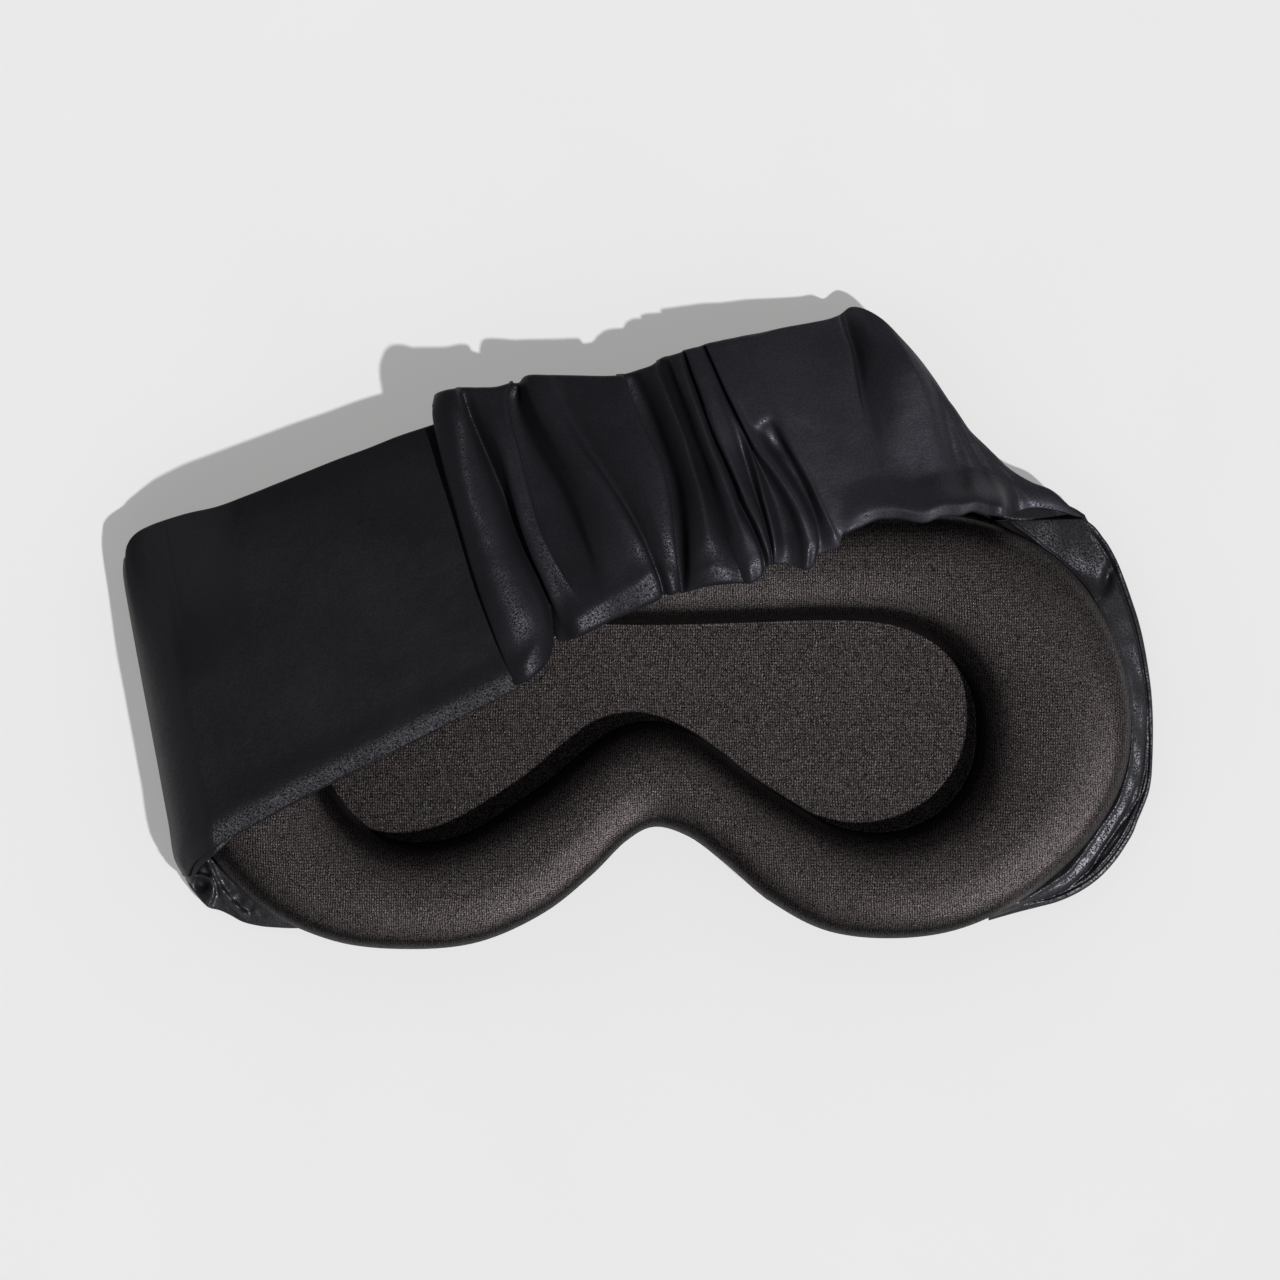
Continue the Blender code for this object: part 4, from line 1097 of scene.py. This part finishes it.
# ------------------------------------------------------------------ last pleats and right panel
# Columns as in SLEEVE_LINES.
RIGHT_LINES = [
    (1.0, 0.8, 0.7,
     "1.5 92 22.4, 3.75 86.5 22, 6.5 79 21.6, 9 71.75 21.5, 12 65.25 21.5, 14 59.25 21.6,"
     "16.25 52.25 22.2, 18.5 46 22.9, 20.25 41 22.9, 22 36.25 22"),
    (1.0, 1.0, 1.1,
     "3.5 93 24, 5.75 86.75 23.6, 8.5 79 23.2, 11 72 23, 13.75 65.5 23, 15.75 59.25 23.1,"
     "18 52.5 23.6, 20.25 46.25 24.3, 22 41.25 24.4, 23.5 36.125 22.8"),
    (1.0, 1.1, 1.2, 25.3, 2.6, 0.34,
     "4.75 93.375 25.4, 6.5 88 25.8, 9.5 80.5 25.8, 11.75 74.25 25.6, 14 68.25 25.4,"
     "16.5 61.5 25.3, 19 55.25 25.4, 21 50 25.6, 23 45 25.6, 24.25 40.75 25.2,"
     "25.25 36.375 22.8"),
    # crest of the strip left of the first crisp line
    (1.0, 1.2, 1.1, 25.5, 4.5, 0.32,
     "6.75 94 26.2, 8.5 88.5 26.8, 11 81.25 27, 13.25 75 26.9, 15.5 68.75 26.7,"
     "18.25 61.75 26.5, 20.75 55.5 26.3, 22.75 50.5 26.2, 24.75 45.5 26, 26.25 41 25.4,"
     "26.75 37.25 23.5"),
    (1.0, 1.1, 0.9, 24.9, 3.5, 0.32,
     "7.75 94.25 25.8, 9.25 89.25 25.8, 11.625 83 25.6, 13.75 77.5 25.4, 16 71.25 25.2,"
     "18.625 65.25 25, 20.75 59.25 24.8, 22.25 54.5 24.6, 24.5 50 25.3, 26.75 45.25 25.3,"
     "27.75 41.25 24.9, 27.75 38.25 23"),
    (1.0, 1.0, 0.5,
     "8.175 94.625 24.2, 9.875 89.25 24, 12.25 83 23.6, 14 77 23.3, 16.375 71.25 23,"
     "18.875 65.75 22.6, 21.25 60 22.2, 22.75 55.5 22, 24.5 52 22, 26.5 47.5 22.4,"
     "28 43.25 22.8, 28.5 40 22.2"),
    # the strip between the two crisp lines, which thins to a ridge at the hem
    (1.0, 1.1, 0.8,
     "8.75 94.875 26.2, 10.5 89.5 26.8, 12.875 83.25 27, 14.75 77.5 27, 17.125 71.75 26.7,"
     "19.625 66.5 26.4, 22 61.25 26.1, 24.125 56 25.8, 26.5 51.25 25.5, 28.25 46.75 25,"
     "29.375 43.5 24.4, 29.625 40.75 22.8"),
    (1.0, 1.1, 0.6,
     "10.75 95.375 26.2, 13 90 26.8, 15.75 83.25 27, 18 77.5 26.8, 20 72.25 26.2,"
     "21.75 68 25.2, 23.5 63 24.4, 25.5 57.5 24.6, 27.375 52.75 24.8, 28.875 48 24.6,"
     "29.75 44.25 24.2, 30 41 22.8"),
    # pocket with its own thin ridge
    (1.0, 1.1, 0.5,
     "12 95.625 25.8, 14.625 90 26.3, 17.375 83.25 26.2, 19.75 77.75 25.9, 22 73 25,"
     "23.25 68.75 23.6, 24.75 63.75 22.9, 26.375 58.25 22.7, 28 53.25 22.8, 29.25 48.25 23,"
     "30.125 44.5 23.2, 30.5 41 22.4"),
    (1.0, 1.0, 0.8,
     "12.75 95.875 25.4, 15.5 90 25.8, 18.25 83.5 25.6, 20.875 78 25.4, 23.375 73.25 25.2,"
     "25.125 69 25.2, 26.75 63.75 25.4, 28 58.5 25.5, 29.25 53.75 25.4, 30.375 49 25.1,"
     "30.875 45 24.6, 30.75 41.125 22.8"),
    # the wide dark hollow
    (1.0, 1.0, 0.5,
     "13.25 96 24.2, 15.75 90.125 24.2, 18.5 83.75 24, 21.25 78.125 23.8, 23.875 73 23.6,"
     "25.75 68.75 23.2, 28.25 63.5 22.6, 30.25 58.25 22.3, 31.875 53.5 22.2, 33 49 22.2,"
     "33.5 45.25 22.4, 33.5 41.25 22.2"),
    (1.0, 1.0, 0.6,
     "13.425 96.125 25.2, 16 90.25 25.2, 18.75 84 25.2, 21.575 78.25 25.2, 24.125 73 25,"
     "26.125 69 24.6, 29.25 64 23.6, 32 59 22.8, 34.25 54.25 22.6, 35.75 49.75 22.6,"
     "36.5 45.5 22.9, 36.75 40.25 22.4"),
    # the big panel's left edge, a crisp line nearly to the hem
    (1.0, 1.1, 1.0, 24.9, 4.0, 0.32,
     "13.625 96.25 26.4, 16.25 90.375 27, 19 84.25 27.2, 21.875 78.5 27.2, 24.5 73.25 27,"
     "26.625 69.5 26.9, 29.75 65.5 26.8, 32.75 61.25 26.6, 35.5 56.75 26.3, 37.375 52.5 26,"
     "38.5 48.25 25.4, 39 44.25 24.8, 38.75 39.75 22.8"),
    (1.0, 1.2, 1.0, 24.9, 5.5, 0.32,
     "15 96.625 26.5, 17.75 90.75 26.9, 20.5 84.5 27.1, 23.5 78.75 26.8, 26.25 74 26.2,"
     "28.25 70.5 25.9, 31.25 66.5 25.8, 34.25 62.25 25.6, 36.75 58 25.5, 38.5 54 25.5,"
     "39.625 49.75 25.4, 40.25 45.5 24.9, 39.875 40 22.8"),
    # hollow between that edge and the panel's shoulder
    (1.0, 1.3, 0.8,
     "16.75 97 26.3, 19.75 90.75 26.7, 22.75 84.5 26.9, 25.75 79.25 26.9, 27.5 76.25 26.5,"
     "28.75 74 24.4, 30.25 71 23, 33 67 23, 35.75 62.75 22.8, 38 58.5 22.9,"
     "39.625 54.5 23.6, 40.625 50.25 24.4, 41.125 46 24.4, 40.625 41 22.8"),
    (1.0, 1.4, 0.5,
     "18.5 97.375 26.2, 22 90.75 26.5, 25 84.75 26.8, 27.75 79.75 26.8, 29.25 77.25 26.5,"
     "30.75 74.75 24.4, 32.5 71.25 22.8, 35 67 22.9, 37.375 62.5 22.7, 39.25 58.25 22.7,"
     "40.75 54.25 22.9, 41.75 50.5 23.2, 42.25 47.25 23.2, 41.75 43.5 22.3"),
    (1.0, 1.4, 0.7,
     "20.5 97.75 26, 24.25 91 26.3, 27.5 85 26.6, 30 80 26.7, 32.25 75.25 26.6,"
     "34.5 70.75 26.4, 37 66.25 26.2, 39.5 61.75 25.9, 41.5 57.5 25.7, 43.25 53.75 25.3,"
     "44.75 50.5 24.8, 45.75 48 24.4, 47 45.25 22.8"),
    (1.0, 1.4, 0.8,
     "23 98.375 25.6, 26.75 91.75 26.3, 30.25 85.75 26.6, 33 80.25 26.7, 35.25 75 26.5,"
     "37.5 70 26.2, 39.5 65 25.9, 41.5 60.25 25.5, 43.5 56 25, 45.25 52.5 24.6,"
     "46.75 50 24.2, 48 48.5 23.6"),
    (1.0, 1.4, 0.9,
     "27.5 99.25 24.4, 31 92 25.3, 34.25 85 25.7, 37.25 78.5 25.9, 40 72 25.6,"
     "42.5 65.5 25.2, 44.75 60 24.9, 46.75 55.25 24.6, 48 52 24.4, 49 49.125 24.1"),
    (1.0, 0.7, 0.9, 24.5, 2.0, 0.36,
     "33 100.375 23, 36.5 92.5 24.1, 39.75 84.75 24.6, 43 77 24.8, 45.75 69.5 24.7,"
     "48.25 62.5 24.5, 50.25 56.75 24.3, 51.75 53 24.2, 52.75 50.5 24"),
    (1.0, 0.7, 0.9, 24.5, 2.0, 0.36,
     "39 101.5 21.4, 42.25 93 22.7, 45.25 84.75 23.4, 47.75 77 23.8, 50 69.5 23.9,"
     "52.25 62.5 24, 54.25 56.75 24, 55.5 53.75 23.9, 56.5 52.125 23.6"),
    # fold where the panel turns down at the right: the cloth beyond it climbs again
    (1.0, 0.7, 0.9, 24.5, 2.0, 0.36,
     "44.5 102.75 20, 46.25 98 21.5, 47.75 93.5 22.4, 49 88.5 22.9, 50.5 82 23.1,"
     "52.25 74.5 23.3, 54.5 66.25 23.6, 57 58.5 23.8, 58.5 55 23.7, 59.5 52.375 23.4"),
    (1.0, 0.7, 0.9, 24.5, 2.0, 0.36,
     "46.75 103.625 19.2, 48.375 98.75 20.9, 49.875 94.75 21.8, 50.75 90 22.3,"
     "51.75 83.5 22.7, 53.5 75.5 23, 56 67 23.4, 59 58.5 23.7, 60.5 55 23.6,"
     "61.5 52.375 23.3"),
    (1.0, 0.7, 0.9, 24.5, 2.0, 0.36,
     "48 104.375 15.6, 49.375 98.75 16.4, 50.75 94.5 17.6, 51.75 89.5 19.6, 53 82.75 21.7,"
     "55 74.75 22.5, 57.5 66.5 23.1, 60.5 58.25 23.6, 62 54.75 23.6, 63 52.25 23.3"),
    (1.0, 0.7, 0.9, 24.5, 2.0, 0.36,
     "49.75 105.75 15.8, 51.75 99 18, 53.5 94 19.9, 54.75 88.5 21.8, 56.25 81.75 23.2,"
     "58.25 74 23.6, 60.75 66 23.5, 63.75 58 23.8, 64.75 54.5 23.7, 65.5 51.625 23.3"),
    (1.0, 0.7, 0.9, 24.5, 2.0, 0.36,
     "52.75 105.5 18.6, 55.75 99 22.2, 58.25 93.25 24.4, 59.75 87.25 25.5, 61.25 80.5 25.6,"
     "63 73 25, 65 65.25 24.1, 67.25 57.5 24.1, 68 54 23.9, 68.5 51.375 23.3"),
    (1.0, 0.7, 0.9, 24.5, 2.0, 0.36,
     "57.5 102.75 22, 61.5 96.75 25.2, 64.25 91.5 26.8, 66.25 85.75 27, 67.75 79.25 26.6,"
     "69.25 72.25 26, 70.5 65 25.3, 71.5 58 24.4, 71.75 55 24, 71.75 52.625 23.4"),
    (1.0, 0.7, 0.9, 24.5, 2.0, 0.36,
     "62.75 97.5 24, 65.75 92.5 25.8, 68 87.5 26.6, 69.75 82 26.6, 71.25 76 26.1,"
     "72.5 70 25.6, 73.5 64 24.8, 74 58 24.4, 74 55.25 24, 74 53 23.3"),
    (1.0, 0.7, 0.9, 24.6, 2.0, 0.36,
     "66.75 93 23.8, 69.25 88.5 25, 71.25 84 25.2, 73 79 24.9, 74.5 73.5 24.4, 76 68 23.9,"
     "77.25 62.5 24, 77.5 57.75 24.4, 77.25 55.5 24.2, 77 53.125 23.4"),
    (1.0, 0.7, 0.8, 24.6, 1.8, 0.34,
     "70.5 88 23.8, 72.75 83.75 24.6, 74.75 79.25 24.8, 76.75 74.25 24.9, 78.75 69.25 25,"
     "80.25 64.25 24.8, 80.75 59.5 24.5, 80.5 56.25 24.2, 80 54.125 23.4"),
    (1.0, 0.6, 0.8, 24.6, 1.7, 0.34,
     "74 82.75 24, 76.5 78.25 24.5, 78.75 73.5 24.4, 81 68.5 24.4, 83 63.75 24.8,"
     "84 59.5 24.8, 83.75 56.25 24.4, 83.25 53.375 23.5"),
    (1.0, 0.6, 0.8, 24.6, 1.6, 0.34,
     "78.5 76 24, 81 72.25 24.7, 83.25 68.5 24.9, 85.25 64.5 25, 87 60.5 24.9,"
     "87.5 56.75 24.5, 87.5 53 23.6"),
    (1.0, 0.5, 0.6,
     "84 70.5 24, 86.5 67 24.5, 88.5 63.5 24.4, 90.25 59.75 24.6, 91.25 56.75 24.5,"
     "91.5 54.25 23.8"),
    (1.0, 0.5, 0.6,
     "89.5 65.25 23.8, 91.5 62.5 24.4, 93.25 59.5 24.8, 94.5 57 24.7, 95 55 24"),
    (1.0, 0.5, 0.6, "95 62 23.8, 96.5 59.75 24.5, 97.75 57.5 24.6, 98.5 55 24.2"),
    (1.0, 0.45, 0.5, "100 60 24, 101.25 58 24.5, 102 56 24.6, 102.5 54.25 24.3"),
    (1.0, 0.5, 0.4, "105.25 55.25 24.2, 106 54.5 24.5, 106.75 53.5 24.5, 107.25 52.5 24.2"),
    (1.0, 0.3, 0.3,
     "108.75 52.75 24.2, 109 52.25 24.3, 109.25 51.75 24.3, 109.5 51.25 24.2"),
]
right_panel = draped("right_panel_satin", RIGHT_LINES, SATIN_RIGHT_PAINTED_SHEEN, seed=57.0)
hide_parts("right_strap_outer", "gather_seam_right", "right_strap_batting")
seam_blend(right_panel, "gather_right", "right_strap", *RIGHT_SPAN)

# ------------------------------------------------------------------ under plies
# Edges of the sleeve and the right panel together: x y.
BROW_EDGE = edge_table(
    "-53 75.5, -50.75 83, -44.5 84.75, -35 86.5, -24.75 88.25, -7.5 88.25, 0.5 91, 8 94.75,"
    "13.5 96, 27.5 99.25, 46.5 102.75, 52 104.5, 58 102, 65.75 93.5, 72.5 85.25, 80.5 73.5,"
    "89.25 65.5, 97.5 61, 105 55.25")
HEM_EDGE = edge_table(
    "-36.25 10, -30.25 12.5, -25.25 17.5, -22 22.5, -12.5 25.75, -1.75 30.5, 7 34.5,"
    "15.25 36, 25 36.5, 30.5 40.5, 40.25 41.5, 45.5 47.5, 53.75 51, 61.75 52.25,"
    "69.25 51.5, 76.5 53, 85 53.25, 90 52.75, 97.5 52.25, 107 52")


def under_ply(name, start, end, count, mat):
    """The ply next to the pad, seen from below and through the open hem."""
    inset, level, steps = 1.4, 21.42, 26
    grid = []
    for i in range(count):
        along = start + (end - start) * i / (count - 1)
        brow = edge_at(BROW_EDGE, along) - inset
        hem = edge_at(HEM_EDGE, along) + inset
        row = []
        for k in range(steps + 1):
            across = brow + (hem - brow) * k / steps
            x, y = plan(along, across)
            # follows the fold where the right panel turns down
            dip = 8.0 * bell(along - 188.0, 9.0) * float(smooth(across, 38.0, 58.0))
            row.append((x, y, level - dip - droop(y) - drop(along)
                        + 0.10 * wander(along, across * 0.25, 5.0, 3.0)))
        row.append((*plan(along, hem + 0.4), row[-1][2] + 0.35))
        row.append((*plan(along, hem + 2.0), row[-1][2] + 0.15))
        row.insert(0, (*plan(along, brow - 0.4), row[0][2] + 0.35))
        grid.append(row)
    return sheet(name, grid, mat, 0.3, up=False)


sleeve_under = under_ply("sleeve_under_ply", 84.0, 149.0, 90, SATIN_SLEEVE_PAINTED_SHEEN)
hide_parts("sleeve_inner", "elastic_band")
seam_blend(sleeve_under, "gather_left", "gather_right", *SLEEVE_SPAN)

right_under = under_ply("right_under_ply", 145.0, 231.0, 110, SATIN_STRAP)
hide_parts("right_strap_inner")
seam_blend(right_under, "gather_right", "right_strap", *RIGHT_SPAN)
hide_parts("left_strap_batting")

# ------------------------------------------------------------------ the right corner
# The lower lip of the slit where the right panel's hem meets the mask's corner: x y.
LIP_UPPER = outline("87.5 56.25, 92.5 56.75, 97.5 56.5, 102.5 55.5, 107.5 53.5")
LIP_LOWER = outline("87.75 53.5, 90.5 52.875, 93.5 52.625, 97 52.25, 100.5 51.5, 104 51,"
                    "107 51.75")


def build_lip():
    rise, roll = 0.5, 0.7
    grid = []
    for upper, lower in zip(even(catmull(LIP_UPPER, 8), 60), even(catmull(LIP_LOWER, 8), 60)):
        base = 21.7 - drop(to_strap(*lower)[0])
        row = [(*(upper + (lower - upper) * t), base + rise * t) for t in np.linspace(0, 1, 10)]
        out = (lower - upper) / np.linalg.norm(lower - upper)
        for turn in (0.5, 1.0, 1.6, 2.2, 2.8):
            row.append((*(lower + out * roll * math.sin(turn)),
                        base + rise - roll * (1 - math.cos(turn))))
        grid.append(row)
    return sheet("right_panel_lower_lip", grid, SATIN_SLEEVE_PAINTED_SHEEN, 0.35)


lip_piece = build_lip()
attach(lip_piece, "right_strap")


def build_anchor():
    """Where the right panel is sewn to the mask: the tube's end turns into the corner."""
    rings = []
    for i, along in enumerate(np.linspace(226.5, 236.4, 26)):
        t = i / 25
        brow = float(np.interp(along, [226.5, 228.6, 232.3, 236.4], [15.0, 13.2, 9.2, 3.9]))
        hem = 5.4 + (2.6 - 5.4) * t
        middle = 9.3 - 1.0 * t ** 1.5
        half = 0.95 - 0.35 * t   # half thickness
        ring = []
        for angle in np.linspace(0, 2 * math.pi, 40, endpoint=False):
            cos, sin = math.cos(angle), math.sin(angle)
            across = (brow + hem) / 2 + (brow - hem) / 2 * math.copysign(abs(cos) ** 0.7, cos)
            offset = half * math.copysign(abs(sin) ** 0.8, sin)
            x, y = plan(along, across)
            ring.append((x, y, middle + offset + 0.15 * wander(x, y, 4, 8)))
        rings.append(ring)
    return loft("right_anchor_satin", rings, SATIN_EDGE_PAINTED_SHEEN)


anchor = build_anchor()
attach(anchor, "mask")


# ------------------------------------------------------------------ stitching
def seam_thread(name, path, replaced, body, length=2.2, gap=0.7, radius=0.16):
    obj = stitches(name, path, length, gap, radius)
    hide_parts(replaced)
    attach(obj, body)


def across_strap(along):
    """A row under the strap, from hem to brow edge."""
    inset = 3.0
    points = []
    for across in np.linspace(edge_at(HEM_EDGE, along) + inset,
                              edge_at(BROW_EDGE, along) - inset, 90):
        x, y = plan(along, across)
        points.append((x, y, 21.05 - droop(y) - drop(along)))
    return points


pad_path = []
for (x, y), (normal_x, normal_y) in zip(PAD, PAD_NORMALS):
    out = 0.3 if growth(x, y) > 1.2 else -0.75
    pad_path.append((x + normal_x * out, y + normal_y * out, 7.2))
seam_thread("pad_seam_thread", pad_path + pad_path[:1], "pad_stitch", "mask",
            length=2.3, gap=0.6, radius=0.17)
seam_thread("right_wing_thread",
            [(x + 0.55, y, 8.2) for x, y in even(catmull(RIGHT_INNER, 8), 160)[24:-6]],
            "right_wing_stitch", "mask")
seam_thread("left_wing_thread",
            [(*plan(1.9, across), 3.6) for across in np.linspace(-36.5, 38.0, 60)],
            "left_wing_stitch", "mask")
seam_thread("left_seam_thread", across_strap(86.9), "left_seam_stitch", "gather_left")
seam_thread("right_seam_thread", across_strap(156.0), "right_seam_stitch", "gather_right")


# ------------------------------------------------------------------ floor, light, camera (metres)
def pale_floor_material():
    """A pale floor with a painted glow: part of its brightness is its own emission, standing in
    for fill light, which keeps the shadows open.
    """
    n = Nodes("pale_floor")
    grainy = n.noise(n.position(), scale=0.02, detail=3.0)
    colour = n.mix(grainy.remap((0.3, 0.7), to=(0, 1)),
                   (0.517, 0.517, 0.525), (0.525, 0.525, 0.533))
    return n.set(Base_Color=colour, Roughness=0.9, Specular_IOR_Level=0.0,
                 Emission_Color=(1.0, 0.995, 0.985, 1), Emission_Strength=0.290)


def build_floor():
    mat = pale_floor_material()
    bpy.ops.mesh.primitive_plane_add(size=6.0, location=(0, 0, 0))
    floor = bpy.context.object
    floor.name = "floor"
    floor.data.materials.append(mat)


def build_world():
    """Side fill from pale walls; the ceiling over the camera is dark."""
    world = bpy.data.worlds.new("studio")
    bpy.context.scene.world = world
    world.use_nodes = True
    nodes, links = world.node_tree.nodes, world.node_tree.links
    background = nodes["Background"]
    background.inputs["Color"].default_value = (0.985, 0.99, 1.0, 1)
    direction = nodes.new("ShaderNodeTexCoord")
    parts = nodes.new("ShaderNodeSeparateXYZ")
    ramp = nodes.new("ShaderNodeMapRange")
    links.new(direction.outputs["Generated"], parts.inputs[0])
    links.new(parts.outputs["Z"], ramp.inputs["Value"])
    for key, number in (("From Min", 0.0), ("From Max", 1.0), ("To Min", 0.46), ("To Max", 0.07)):
        ramp.inputs[key].default_value = number
    links.new(ramp.outputs["Result"], background.inputs["Strength"])


def build_key_light():
    """A sun from the lower right of the plan."""
    elevation = math.radians(55)
    data = bpy.data.lights.new("key", "SUN")
    data.energy = 3.2
    data.angle = math.radians(2.1)
    data.color = (1.0, 0.995, 0.985)
    sun = bpy.data.objects.new("key", data)
    bpy.context.scene.collection.objects.link(sun)
    toward = Vector((0.77 * math.cos(elevation), -0.64 * math.cos(elevation),
                     math.sin(elevation)))
    sun.rotation_euler = toward.to_track_quat("Z", "Y").to_euler()


def build_camera():
    """A long lens that looks straight down."""
    scene = bpy.context.scene
    data = bpy.data.cameras.new("camera")
    data.lens = 337.5
    data.sensor_width = 36.0
    data.clip_end = 20.0
    camera = bpy.data.objects.new("camera", data)
    camera.location = (-0.0025, 0.0225, 3.0)
    scene.collection.objects.link(camera)
    scene.camera = camera
    scene.view_settings.view_transform = "Standard"


build_floor()
build_world()
build_key_light()
build_camera()
